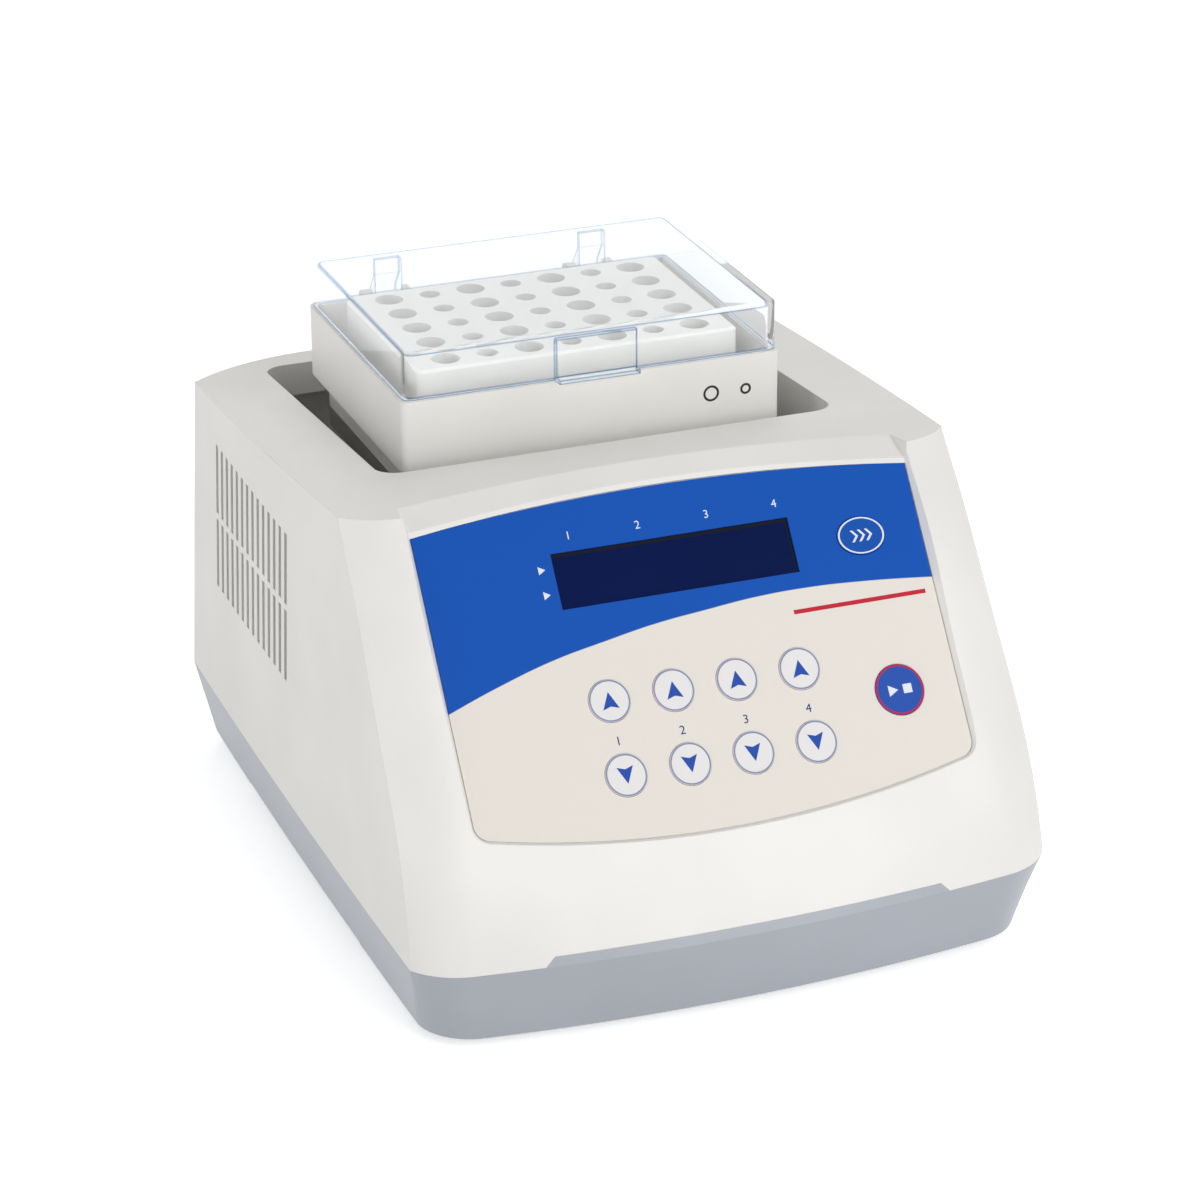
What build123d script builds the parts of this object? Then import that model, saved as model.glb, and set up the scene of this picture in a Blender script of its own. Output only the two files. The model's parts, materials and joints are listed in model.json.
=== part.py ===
"""Bench thermal mixer: a heated tube block in a shaking tub, driven by an eccentric over a flywheel motor.

Millimetres, +Z up. The origin is the middle of the footprint at the height that the feet stand on.
The front, with the keypad, faces -Y.
"""

import os
from math import cos, radians, sin, sqrt, tan

from build123d import *

os.makedirs("parts", exist_ok=True)

# ---------------------------------------------------------------- housing and base
FOOT_H = 3.0  # rubber foot, below the tray
FOOT_R = 10.0
FOOT_SEAT = 1.5  # depth of the pocket that a foot sits in
FOOT_SIDE_IN = 24.9  # from the tray's bottom edge to a foot's middle
FOOT_FRONT_IN = 30.8
FOOT_REAR_IN = 38.5
BASE_WALL = 3.0
SEAM_Z = 34.3  # joint between the white housing and the tray
SEAM_HALF_W = 123.7
SEAM_REAR_Y = 156.8
REAR_BOW = 1.5
SIDE_BOW = 1.4
BASE_HALF_W = 116.9
BASE_FRONT_Y = -142.8
BASE_REAR_Y = 150.5
BASE_EDGE = 1.8  # eased lower edge of the tray
BASE_BOW = 6.6
BASE_CORNER_DX = 18.0
BASE_CORNER_DY = 18.0
BASE_CORNER_SAG = 4.6
RELIEF_H = 2.6  # shallow lift of the tray's lower edge between its two ends
RELIEF_FRONT_Y = -62.0
RELIEF_REAR_Y = 78.0
TONGUE_H = 3.5  # raised middle of the seam at the front
TONGUE_HALF_W = 74.0

WALL = 3.0
SIDE_DRAFT = 2.15  # degrees
REAR_DRAFT = 2.3
FRONT_Y = -151.1  # where the corner meets the front, at the seam
FRONT_BOW = 6.9  # how far the middle of the front stands out, at the seam
FRONT_BOW_H = 80.0  # height over which that bow dies away
FLAT_BOW = 0.3  # bow that the flat upper front keeps
CORNER_DX = 21.0
CORNER_DY = 12.5
CORNER_SAG = 2.8
REAR_CORNER_DX = 52.0
REAR_CORNER_DY = 21.0
REAR_CORNER_SAG = 5.0
SLOPE = 54.2  # degrees, the upper front of the housing
FOOT_SLOPE = 80.0  # degrees, the front at the seam
FRONT_BEND_R = 130.0  # between the two
LOFT_Z = (SEAM_Z, 46.0, 58.0, 72.0, 86.0, 102.0, 122.0, 150.0, 184.0)
CAVITY_Z = (SEAM_Z, 58.0, 86.0, 122.0, 172.0)
CUT_TOP = 200.0  # cutting shapes end above and beside the housing
CUT_W = 140.0

TOP_Z = 171.5  # top surface at its front edge
TOP_FRONT_Y = -54.5
TOP_SLOPE = 4.7  # degrees, down to the back
BROW_RISE = 4.9  # crown of the front edge over the keypad
STRIP_REACH = 21.5  # the strip in front of the crown falls to a straight line this far forward
STRIP_DROP = 7.2
STRIP_RISE = 2.2  # crown that is left on that line
BROW_FLAT = 0.02  # crown where the top meets the well's rim

# ---------------------------------------------------------------- keypad plane
PANEL_SLOPE = 53.3
PANEL_Y = -68.5
PANEL_Z = 165.5
PANEL_HALF_W = 95.3
PANEL_TOP_RISE = 6.0
PANEL_SIDE_L = 109.3
PANEL_BOW = 11.2
PANEL_CORNER_R = 6.0
PANEL_GAP = 0.4
PANEL_T = 0.8
RECESS_FLARE = 33.0  # degrees
WALL_FLARE = 0.39  # sideways per millimetre of height, the walls beside the strip
RECESS_REACH = 30.0
RECESS_H = 12.0

# ---------------------------------------------------------------- well in the top
WELL_SIDE_GAP = 15.0  # from the tub to the rim, where the tub is in the middle of its orbit
WELL_FRONT_GAP = 15.5
WELL_REAR_GAP = 22.0
WELL_R = 9.0
SKIRT_T = 2.5
SKIRT_DROP = 29.0  # lower edge of the wall round the well, below the top

# ---------------------------------------------------------------- keys and display, in the panel's plane
KEY_COLUMNS = (-36.5, -12.15, 12.15, 36.5)
KEY_ROW_UP = 68.8
KEY_ROW_DOWN = 95.9
KEY_R = 7.75
START_AT = (72.5, -82.5)
START_R = 9.4
PULSE_AT = (71.8, -24.2)
PULSE_HALF_W = 9.3
PULSE_HALF_H = 7.1
KEY_GAP = 0.2
KEY_PROUD = 0.35
KEY_T = 2.2
KEY_STEM_R = 3.0
KEY_STEM_L = 3.2
KEY_TRAVEL = 0.4
SWITCH_GAP = 0.1  # left above the switch when the key is pressed home
SWITCH_W = 6.0
SWITCH_H = 3.4
PLUNGER_R = 1.7
PLUNGER_H = 1.2
LCD_AT = (-0.3, -23.5)
LCD_W = 91.4
LCD_H = 20.7
LENS_LAP = 2.0
LENS_T = 1.5
LENS_GAP = 0.1
LCD_RIM_X = 3.3
LCD_RIM_Y = 6.65
BOARD_T = 1.6
BOARD_BOSS_R = 3.5
BOARD_HOLE_R = 1.25
BOARD_SCREW_R = 1.2
SCREW_HEAD_R = 2.6
SCREW_HEAD_H = 1.8
BOSS_IN_LEFT = 7.0  # from the board's edges to its screws
BOSS_IN_RIGHT = 6.0
BOSS_IN_LOW = 6.0
BOSS_IN_TOP = 10.0
BOSS_MID_TOP = 54.0
BOSS_LOW_RIGHT = 44.0

# ---------------------------------------------------------------- vents in the two sides
VENT_COUNT = 14
VENT_PITCH = 7.1
VENT_W = 3.0
VENT_L = 28.2
VENT_FRONT_Y = 5.0
VENT_TOP_Z = 142.3
VENT_ROW_GAP = 2.6

# ---------------------------------------------------------------- screws that join tray and housing
POST_IN = 19.7  # from the seam's side to a screw post
POST_FRONT_Y = -92.0
POST_REAR_Y = 92.0
POST_R = 5.5
POST_H = 27.7
CASE_SCREW_R = 2.0
CASE_SCREW_GAP = 0.08
CASE_HEAD_R = 3.6
CASE_HEAD_H = 2.4
CASE_SCREW_H = 19.7  # above the seam
CASE_HEAD_SEAT = 3.2

# ---------------------------------------------------------------- shaking drive
ORBIT_R = 1.5
SHAFT_X = 1.5
SHAFT_Y = 57.5
SHAFT_R = 4.0
SHAFT_END = 8.0  # shaft's lower end, above the motor's
RUN_GAP = 0.05  # radial running clearance
MOTOR_R = 34.0
MOTOR_H = 52.0
MOTOR_NOSE_R = 12.0
MOTOR_NOSE_H = 2.0
MOTOR_HOLE_PCD_R = 24.0
BRACKET_TOP_Z = 107.0
BRACKET_T = 3.0
BRACKET_HALF_X = 72.0
BRACKET_HALF_Y = 54.0
BRACKET_FOOT_L = 16.0
BRACKET_PAD_H = 6.0  # pad on the tray floor under each bracket foot
FLYWHEEL_R = 48.0
FLYWHEEL_H = 10.0
FLYWHEEL_GAP = 3.0  # above the bracket
HUB_R = 13.0
HUB_H = 4.5
PIN_R = 5.0
PIN_END = 0.8  # above the bearing
WEIGHT_INNER_R = 26.0
WEIGHT_ARC = 100.0  # degrees
WEIGHT_H = 5.0
BEARING_LIFT = 3.1  # above the hub
BEARING_H = 8.0
INNER_RING_T = 2.4
OUTER_RING_T = 5.55
SPACER_T = 1.5
GLIDE_IN_X = 14.0  # from the bracket's edges
GLIDE_IN_Y = 12.0
GLIDE_ROD_R = 4.0
GLIDE_PAD_R = 8.0
GLIDE_PAD_H = 5.0
GLIDE_GAP = 0.3

# ---------------------------------------------------------------- shaking platform, tub and block
PLATE_LIFT = 4.4  # above the bearing
PLATE_T = 8.0
TUB_H = 40.5
TUB_STEP_H = 12.15  # height at which the tub widens
TUB_WALL = 3.5
TUB_INSET = 5.0
TUB_R = 3.0
TUB_FLOOR_T = 3.0
BOSS_WALL = 5.0
BOSS_LIP = 1.4  # below the bearing
PAD_T = 3.0
HEATER_T = 5.0
BLOCK_RIM_X = 8.6  # outside the outermost wells
BLOCK_RIM_Y = 4.05
BLOCK_ROOM_X = 11.1  # from the block to the tub's outside
BLOCK_ROOM_Y = 14.75
BLOCK_H = 35.2
BLOCK_R = 3.0
WELL_PITCH = 16.6
WELL_COLUMNS = 7
WELL_ROWS = 5
BIG_R = 5.5
BIG_DEPTH = 30.0
SMALL_R = 4.0
SMALL_DEPTH = 24.0
PROBE_R = 1.5
PROBE_L = 24.0
PROBE_GAP = 0.05
PROBE_H = 13.0  # above the block's underside
PROBE_OUT = 5.0

# ---------------------------------------------------------------- lid
LID_INSET = 1.0
LID_H = 19.3
LID_WALL = 2.2
LID_ROOF = 2.5
LID_GAP = 0.2
LID_R = 3.0
TAB_W = 32.0
TAB_X = 1.0
TAB_H = 16.5
TAB_T = 1.6
LIP_REACH = 5.0
LIP_T = 1.6
LUG_X = 42.5
LUG_W = 10.4
LUG_T = 2.6
LUG_H = 13.5
HINGE_OUT = 4.3  # pin axis behind the tub
HINGE_DROP = 3.2  # pin axis below the tub's edge
KNUCKLE_R = 3.4
HINGE_PIN_R = 1.5
HINGE_GAP = 0.06
EAR_T = 4.0
EAR_GAP = 0.4
HOLE_GAP = 0.4  # round each key, in the housing
BOARD_SCREW_L = 4.5
VENT_REACH = 11.7  # from the seam's side to where the slots' cut begins
FOOT_GAP = 0.1
RELIEF_W = 13.0  # thicker floor over the lift
RELIEF_MID_IN = 8.4
RELIEF_CUT_IN = 11.9
BRACKET_PAD_L = 24.0
BRACKET_SCREW_R = 2.0
BRACKET_FOOT_IN = 14.0
LCD_GLASS_H = 1.4
BOARD_W = 156.0
BOARD_L = 104.0
BOARD_AT = (16.0, -58.0)
BOARD_HOLE_GAP = 0.1
FIT_GAP = 0.03  # bores on pieces of the same body
BRACKET_WINDOW_PITCH = 24.0
BRACKET_WINDOW_L = 60.0
BRACKET_WINDOW_W = 12.0
MOTOR_SCREW_L = 6.0
FAN_Z = 62.0
FAN_WALL = 1.5
FAN_T = 15.0
FAN_BORE_R = 28.5
FAN_HOLE_IN = 5.0
FAN_STRUT_T = 2.5
FAN_STRUT_W = 3.0
FAN_HUB_R = 11.0
FAN_PIN_R = 1.5
FAN_END_GAP = 0.8
FAN_OPEN_GAP = 1.2  # behind the rotor
FAN_TIP_GAP = 1.0
FAN_CHORD = 11.0
FAN_BLADE_T = 1.2
FAN_PITCH = 35.0
FAN_BLADES = 7
TUB_SCREW_IN_X = 8.2  # from the tub's outside
TUB_SCREW_IN_Y = 8.7
TUB_SCREW_R = 1.6
TUB_SCREW_HEAD_R = 3.0
TUB_SCREW_GRIP = 6.0  # depth in the plate
TUB_BOSS_R = 4.5
LID_EDGE_R = 1.0

# ---------------------------------------------------------------- mains inlet and switch
REAR_SINK = 4.8  # depth of the sunken panel in the rear wall, from the seam
REAR_PAD_T = 8.0
REAR_PANEL_Z = 66.0
REAR_MARGIN_LEFT = 3.0
REAR_MARGIN_RIGHT = 9.3
REAR_MARGIN_Z = 5.0
INLET_X = -22.0
INLET_SHELL = 2.0
INLET_GAP = 0.2
INLET_FLANGE_W = 50.0
INLET_FLANGE_H = 24.0
INLET_FLANGE_T = 2.5
INLET_DEPTH = 18.0
INLET_HOLE_IN = 5.0
INLET_SCREW_R = 1.5
SOCKET_W = 24.0
SOCKET_L = 16.0
SOCKET_CUT = 3.5
SOCKET_DEPTH = 17.0
INLET_PIN_X = 7.0
INLET_PIN_Z = 2.0
INLET_PIN_W = 2.0
INLET_PIN_H = 4.0
INLET_PIN_L = 11.5
SWITCH_X = 25.0
ROCKER_W = 11.0
ROCKER_L = 17.0
ROCKER_GAP = 0.3
ROCKER_IN = 0.8  # pivot, behind the panel's face
ROCKER_PIN_R = 1.2
ROCKER_FACE = 2.6
ROCKER_TRIM = 0.9
ROCKER_TILT = 8.0  # degrees either way
BEZEL_T = 1.0
BEZEL_W = 2.2
BEZEL_FLANGE_T = 2.0
BEZEL_DEPTH = 16.0

# ---------------------------------------------------------------- supply and driver
SUPPLY_AT = (-52.0, -92.0)
SUPPLY_W = 80.0
SUPPLY_L = 50.0
SUPPLY_H = 26.0
SUPPLY_RIM = 18.0
SUPPLY_POST_IN_X = 4.5
SUPPLY_POST_IN_Y = 5.0
SUPPLY_SLOT_IN = 8.0
SUPPLY_SLOT_W = 3.0
SUPPLY_SLOT_PITCH = 8.0
SUPPLY_SLOTS = 6
DRIVER_AT = (50.0, -92.0)
DRIVER_W = 80.0
DRIVER_L = 60.0
DRIVER_POST_IN = 5.0
HEATSINK_W = 26.0
HEATSINK_H = 22.0
HEATSINK_L = 36.0
HEATSINK_SHIFT = 14.0
HEATSINK_BASE_T = 3.0
HEATSINK_FIN_T = 1.5
HEATSINK_FINS = 6
CAPACITOR_R = 8.0
CAPACITOR_H = 24.0
CAPACITOR_SHIFT = 20.0




def front_y(z: float) -> float:
    """Where the straight part of the front begins at height z: a tangent arc, then a straight slope."""
    arc_h = FRONT_BEND_R * (cos(radians(SLOPE)) - cos(radians(FOOT_SLOPE)))
    centre_z = SEAM_Z - FRONT_BEND_R * cos(radians(FOOT_SLOPE))
    centre_y = FRONT_Y + FRONT_BEND_R * sin(radians(FOOT_SLOPE))
    if z <= SEAM_Z + arc_h:
        return centre_y - sqrt(FRONT_BEND_R**2 - (z - centre_z) ** 2)
    tangent_y = centre_y - FRONT_BEND_R * sin(radians(SLOPE))
    return tangent_y + (z - SEAM_Z - arc_h) / tan(radians(SLOPE))


def outline(z, half_w, front, bow, rear, rear_bow, corner, rear_corner, side_bow):
    """One level of the body's plan: bowed ends, bowed sides and corners that meet the sides in a crease."""
    corner_dx, corner_dy, corner_sag = corner
    rear_dx, rear_dy, rear_sag = rear_corner
    front_x = half_w - corner_dx
    crease_y = front + corner_dy
    rear_x = half_w - rear_dx
    rear_crease_y = rear - rear_dy
    with BuildSketch(Plane.XY.offset(z)) as level:
        with BuildLine():
            ThreePointArc((-front_x, front), (0, front - bow), (front_x, front))
            for side in (1, -1):
                mid_x = half_w - corner_dx / 2
                chord = sqrt(corner_dx**2 + corner_dy**2)
                ThreePointArc(
                    (side * front_x, front),
                    (
                        side * (mid_x + corner_sag * corner_dy / chord),
                        front + corner_dy / 2 - corner_sag * corner_dx / chord,
                    ),
                    (side * half_w, crease_y),
                )
                ThreePointArc(
                    (side * half_w, crease_y),
                    (side * (half_w + side_bow), (crease_y + rear_crease_y) / 2),
                    (side * half_w, rear_crease_y),
                )
                rear_chord = sqrt(rear_dx**2 + rear_dy**2)
                ThreePointArc(
                    (side * half_w, rear_crease_y),
                    (
                        side * (half_w - rear_dx / 2 + rear_sag * rear_dy / rear_chord),
                        rear - rear_dy / 2 + rear_sag * rear_dx / rear_chord,
                    ),
                    (side * rear_x, rear),
                )
            ThreePointArc((rear_x, rear), (0, rear + rear_bow), (-rear_x, rear))
        make_face()
    return level.sketch


def body_level(z: float, inset: float):
    """The housing's plan at height z, drawn in by a wall."""
    rise = z - SEAM_Z
    fade = max(0.0, 1 - rise / FRONT_BOW_H)
    return outline(
        z,
        SEAM_HALF_W - SIDE_BOW - rise * tan(radians(SIDE_DRAFT)) - inset,
        front_y(z) + inset / sin(radians(SLOPE)),
        FRONT_BOW * fade**2 + FLAT_BOW,
        SEAM_REAR_Y - rise * tan(radians(REAR_DRAFT)) - inset,
        REAR_BOW,
        (CORNER_DX, CORNER_DY, CORNER_SAG),
        (REAR_CORNER_DX, REAR_CORNER_DY, REAR_CORNER_SAG),
        SIDE_BOW,
    )


def base_level(z: float, inset: float):
    """The tray's plan at height z: it tapers from the seam down to its bottom edge."""
    t = (z - FOOT_H) / (SEAM_Z - FOOT_H)
    return outline(
        z,
        BASE_HALF_W - SIDE_BOW + t * (SEAM_HALF_W - BASE_HALF_W) - inset,
        BASE_FRONT_Y + t * (FRONT_Y - BASE_FRONT_Y) + inset,
        BASE_BOW + t * (FRONT_BOW + FLAT_BOW - BASE_BOW),
        BASE_REAR_Y + t * (SEAM_REAR_Y - BASE_REAR_Y) - inset,
        REAR_BOW,
        (
            BASE_CORNER_DX + t * (CORNER_DX - BASE_CORNER_DX),
            BASE_CORNER_DY + t * (CORNER_DY - BASE_CORNER_DY),
            BASE_CORNER_SAG + t * (CORNER_SAG - BASE_CORNER_SAG),
        ),
        (REAR_CORNER_DX, REAR_CORNER_DY, REAR_CORNER_SAG),
        SIDE_BOW,
    )


def top_z(y: float) -> float:
    """Height of the top surface, which falls towards the back."""
    return TOP_Z - (y - TOP_FRONT_Y) * tan(radians(TOP_SLOPE))


def panel_outline(plane, grow: float, top_reach: float = 0.0):
    """The keypad's outline on a plane parallel to it: arched at the top, bowed at the bottom."""
    half_w = PANEL_HALF_W + grow
    with BuildSketch(plane) as shape:
        with BuildLine():
            if top_reach:
                Polyline((half_w, 0), (half_w, top_reach), (-half_w, top_reach), (-half_w, 0))
            else:
                ThreePointArc((half_w, 0), (0, PANEL_TOP_RISE + grow), (-half_w, 0))
            Line((-half_w, 0), (-half_w, -PANEL_SIDE_L - grow))
            ThreePointArc(
                (-half_w, -PANEL_SIDE_L - grow),
                (0, -PANEL_SIDE_L - PANEL_BOW - grow),
                (half_w, -PANEL_SIDE_L - grow),
            )
            Line((half_w, -PANEL_SIDE_L - grow), (half_w, 0))
        make_face()
        fillet(shape.vertices().group_by(Axis.Y)[0], PANEL_CORNER_R + grow)
    return shape.sketch


def crowned_cut(y: float, z: float, rise: float, flare: float):
    """Section across the housing at y: all that lies above a crowned line, between flared sides."""
    reach = (CUT_TOP - z) * flare
    with BuildSketch(Plane.XZ.offset(-y)) as section:
        with BuildLine():
            ThreePointArc((-BROW_HALF_W, z), (0, z + rise), (BROW_HALF_W, z))
            Polyline(
                (BROW_HALF_W, z),
                (BROW_HALF_W + reach, CUT_TOP),
                (-BROW_HALF_W - reach, CUT_TOP),
                (-BROW_HALF_W, z),
            )
        make_face()
    return section.sketch


def top_z(y: float) -> float:
    """Height of the top surface, which falls towards the back."""
    return TOP_Z - (y - TOP_FRONT_Y) * tan(radians(TOP_SLOPE))


# ---------------------------------------------------------------- planes and shared places
FLOOR_Z = FOOT_H + BASE_WALL
BROW_HALF_W = PANEL_HALF_W + PANEL_GAP
BLOCK_W = (WELL_COLUMNS - 1) * WELL_PITCH + 2 * (BIG_R + BLOCK_RIM_X)
BLOCK_L = (WELL_ROWS - 1) * WELL_PITCH + 2 * (BIG_R + BLOCK_RIM_Y)
PIN_X = SHAFT_X - ORBIT_R
TUB_CX = PIN_X
TUB_CY = SHAFT_Y
TUB_W = BLOCK_W + 2 * BLOCK_ROOM_X
TUB_L = BLOCK_L + 2 * BLOCK_ROOM_Y
TUB_FRONT_Y = TUB_CY - TUB_L / 2
TUB_REAR_Y = TUB_CY + TUB_L / 2
WELL_HALF_W = TUB_W / 2 + WELL_SIDE_GAP
WELL_FRONT_Y = TUB_FRONT_Y - WELL_FRONT_GAP
WELL_REAR_Y = TUB_REAR_Y + WELL_REAR_GAP
WELL_L = WELL_REAR_Y - WELL_FRONT_Y
WELL_AT = (SHAFT_X, (WELL_FRONT_Y + WELL_REAR_Y) / 2)
SKIRT_Z = TOP_Z - SKIRT_DROP

PANEL = Plane(
    origin=(0, PANEL_Y, PANEL_Z),
    x_dir=(1, 0, 0),
    z_dir=(0, -sin(radians(PANEL_SLOPE)), cos(radians(PANEL_SLOPE))),
)
TOP = Plane(
    origin=(0, TOP_FRONT_Y, TOP_Z),
    x_dir=(1, 0, 0),
    z_dir=(0, sin(radians(TOP_SLOPE)), cos(radians(TOP_SLOPE))),
)
STRIP = Plane(
    origin=(0, TOP_FRONT_Y, TOP_Z),
    x_dir=(1, 0, 0),
    z_dir=(0, -STRIP_DROP, STRIP_REACH),
)
PANEL_INNER = -PANEL_T - WALL
KEY_AT = [(x, -v) for v in (KEY_ROW_UP, KEY_ROW_DOWN) for x in KEY_COLUMNS]
KEY_BOTTOM = KEY_PROUD - KEY_T
STEM_BOTTOM = KEY_BOTTOM - KEY_STEM_L
SWITCH_AT = KEY_AT + [START_AT, PULSE_AT]
BOARD_TOP = STEM_BOTTOM - KEY_TRAVEL - SWITCH_GAP - PLUNGER_H - SWITCH_H
BOARD_LEFT = BOARD_AT[0] - BOARD_W / 2
BOARD_RIGHT = BOARD_AT[0] + BOARD_W / 2
BOARD_HIGH = BOARD_AT[1] + BOARD_L / 2
BOARD_LOW = BOARD_AT[1] - BOARD_L / 2
BOARD_BOSSES = (
    (BOARD_LEFT + BOSS_IN_LEFT, BOARD_HIGH - BOSS_MID_TOP),
    (BOARD_LEFT + BOSS_IN_LEFT, BOARD_LOW + BOSS_IN_LOW),
    (BOARD_RIGHT - BOSS_LOW_RIGHT, BOARD_LOW + BOSS_IN_LOW),
    (BOARD_RIGHT - BOSS_IN_RIGHT, BOARD_HIGH - BOSS_MID_TOP),
    (BOARD_RIGHT - BOSS_IN_RIGHT, BOARD_HIGH - BOSS_IN_TOP),
)
LCD_MODULE_W = LCD_W + 2 * LCD_RIM_X
LCD_MODULE_H = LCD_H + 2 * LCD_RIM_Y

FOOT_X = BASE_HALF_W - FOOT_SIDE_IN
FOOT_Y = (BASE_FRONT_Y + FOOT_FRONT_IN, BASE_REAR_Y - FOOT_REAR_IN)
FOOT_AT = [(x, y) for y in FOOT_Y for x in (-FOOT_X, FOOT_X)]
POST_X = SEAM_HALF_W - POST_IN
POST_AT = [(x, y) for y in (POST_FRONT_Y, POST_REAR_Y) for x in (-POST_X, POST_X)]
POST_RIB_L = POST_IN - SIDE_BOW - WALL / 2
RIB_AT = [(x + POST_RIB_L / 2 * (1 if x > 0 else -1), y) for x, y in POST_AT]
CASE_SCREW_TOP_Z = SEAM_Z + CASE_SCREW_H
VENT_INNER_X = SEAM_HALF_W - VENT_REACH
VENT_ROW_Z = (VENT_TOP_Z - VENT_L / 2, VENT_TOP_Z - 1.5 * VENT_L - VENT_ROW_GAP)
RELIEF_MID_X = BASE_HALF_W - RELIEF_MID_IN
RELIEF_CUT_X = BASE_HALF_W - RELIEF_CUT_IN

SUPPORT_Z = FLOOR_Z + BRACKET_PAD_H  # top of the pads and posts on the tray's floor
BRACKET_FOOT_AT = [
    (SHAFT_X + i * (BRACKET_HALF_X + BRACKET_FOOT_L / 2), SHAFT_Y + j * (BRACKET_HALF_Y - BRACKET_FOOT_IN))
    for i in (-1, 1)
    for j in (-1, 1)
]
SUPPLY_POST_AT = [
    (
        SUPPLY_AT[0] + i * (SUPPLY_W / 2 - SUPPLY_POST_IN_X),
        SUPPLY_AT[1] + j * (SUPPLY_L / 2 - SUPPLY_POST_IN_Y),
    )
    for i in (-1, 1)
    for j in (-1, 1)
]
DRIVER_POST_AT = [
    (DRIVER_AT[0] + i * (DRIVER_W / 2 - DRIVER_POST_IN), DRIVER_AT[1] + j * (DRIVER_L / 2 - DRIVER_POST_IN))
    for i in (-1, 1)
    for j in (-1, 1)
]

MOTOR_TOP_Z = BRACKET_TOP_Z - BRACKET_T
SHAFT_BOTTOM_Z = MOTOR_TOP_Z - MOTOR_H + SHAFT_END
FAN_FACE_X = SHAFT_X - BRACKET_HALF_X
FAN_W = 2 * (FAN_BORE_R + FAN_WALL)
FAN_HOLE_PITCH = FAN_W - 2 * FAN_HOLE_IN
FAN_ROTOR_T = FAN_T - FAN_STRUT_T - FAN_END_GAP - FAN_OPEN_GAP
FAN_TIP_R = FAN_BORE_R - FAN_TIP_GAP
FLYWHEEL_Z = BRACKET_TOP_Z + FLYWHEEL_GAP
HUB_TOP_Z = FLYWHEEL_Z + FLYWHEEL_H + HUB_H
BEARING_BOTTOM_Z = HUB_TOP_Z + BEARING_LIFT
BEARING_TOP_Z = BEARING_BOTTOM_Z + BEARING_H
PIN_TOP_Z = BEARING_TOP_Z + PIN_END
INNER_RING_R = PIN_R + INNER_RING_T
BEARING_R = INNER_RING_R + RUN_GAP + OUTER_RING_T
GLIDE_AT = [
    (PIN_X + i * (BRACKET_HALF_X - GLIDE_IN_X), SHAFT_Y + j * (BRACKET_HALF_Y - GLIDE_IN_Y))
    for i in (-1, 1)
    for j in (-1, 1)
]

BOSS_R = BEARING_R + BOSS_WALL
BOSS_BOTTOM_Z = BEARING_BOTTOM_Z - BOSS_LIP
PLATE_Z = BEARING_TOP_Z + PLATE_LIFT
TUB_BOTTOM_Z = PLATE_Z + PLATE_T
TUB_EDGE_Z = TUB_BOTTOM_Z + TUB_STEP_H
TUB_TOP_Z = TUB_BOTTOM_Z + TUB_H
LEDGE_Z = TUB_EDGE_Z + TUB_WALL
TUB_SCREW_Z = TUB_BOTTOM_Z - TUB_SCREW_GRIP
TUB_SCREW_AT = [
    (TUB_CX + i * (TUB_W / 2 - TUB_SCREW_IN_X), TUB_CY + j * (TUB_L / 2 - TUB_SCREW_IN_Y))
    for i in (-1, 1)
    for j in (-1, 1)
]
PAD_Z = TUB_BOTTOM_Z + TUB_FLOOR_T
HEATER_Z = PAD_Z + PAD_T
BLOCK_Z = HEATER_Z + HEATER_T
BLOCK_TOP_Z = BLOCK_Z + BLOCK_H
COLUMN_AT = [TUB_CX + (i - (WELL_COLUMNS - 1) / 2) * WELL_PITCH for i in range(WELL_COLUMNS)]
ROW_AT = [TUB_CY + (j - (WELL_ROWS - 1) / 2) * WELL_PITCH for j in range(WELL_ROWS)]
BIG_AT = [(x, y) for x in COLUMN_AT[::2] for y in ROW_AT]
SMALL_AT = [(x, y) for x in COLUMN_AT[1::2] for y in ROW_AT]
PROBE_Y = TUB_CY + WELL_PITCH / 2
PROBE_Z = BLOCK_Z + PROBE_H
HINGE_Y = TUB_REAR_Y + HINGE_OUT
HINGE_Z = TUB_TOP_Z - HINGE_DROP
HINGE_PIN_L = LUG_W + 2 * EAR_GAP + 2 * EAR_T
EAR_X = [side * LUG_X + edge * (LUG_W / 2 + EAR_GAP + EAR_T / 2) for side in (-1, 1) for edge in (-1, 1)]
LID_BOTTOM_Z = TUB_TOP_Z + LID_GAP
LID_TOP_Z = LID_BOTTOM_Z + LID_H
LID_FRONT_Y = TUB_FRONT_Y + LID_INSET
LID_REAR_Y = TUB_REAR_Y - LID_INSET

REAR_PANEL_Y = SEAM_REAR_Y - REAR_SINK
REAR_LEFT_X = INLET_X - INLET_FLANGE_W / 2 - REAR_MARGIN_LEFT
REAR_RIGHT_X = SWITCH_X + ROCKER_W / 2 + BEZEL_W + REAR_MARGIN_RIGHT
REAR_PANEL_X = (REAR_LEFT_X + REAR_RIGHT_X) / 2
REAR_PANEL_W = REAR_RIGHT_X - REAR_LEFT_X
REAR_PANEL_H = INLET_FLANGE_H + 2 * REAR_MARGIN_Z
INLET_W = SOCKET_W + 2 * INLET_SHELL
INLET_H = SOCKET_L + 2 * INLET_SHELL
INLET_HOLE_X = INLET_FLANGE_W / 2 - INLET_HOLE_IN
INLET_SCREW_AT = [(INLET_X + side * INLET_HOLE_X, REAR_PANEL_Z) for side in (-1, 1)]
SOCKET_FLOOR_Y = REAR_PANEL_Y + INLET_FLANGE_T - SOCKET_DEPTH
ROCKER_Y = REAR_PANEL_Y - ROCKER_IN

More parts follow.
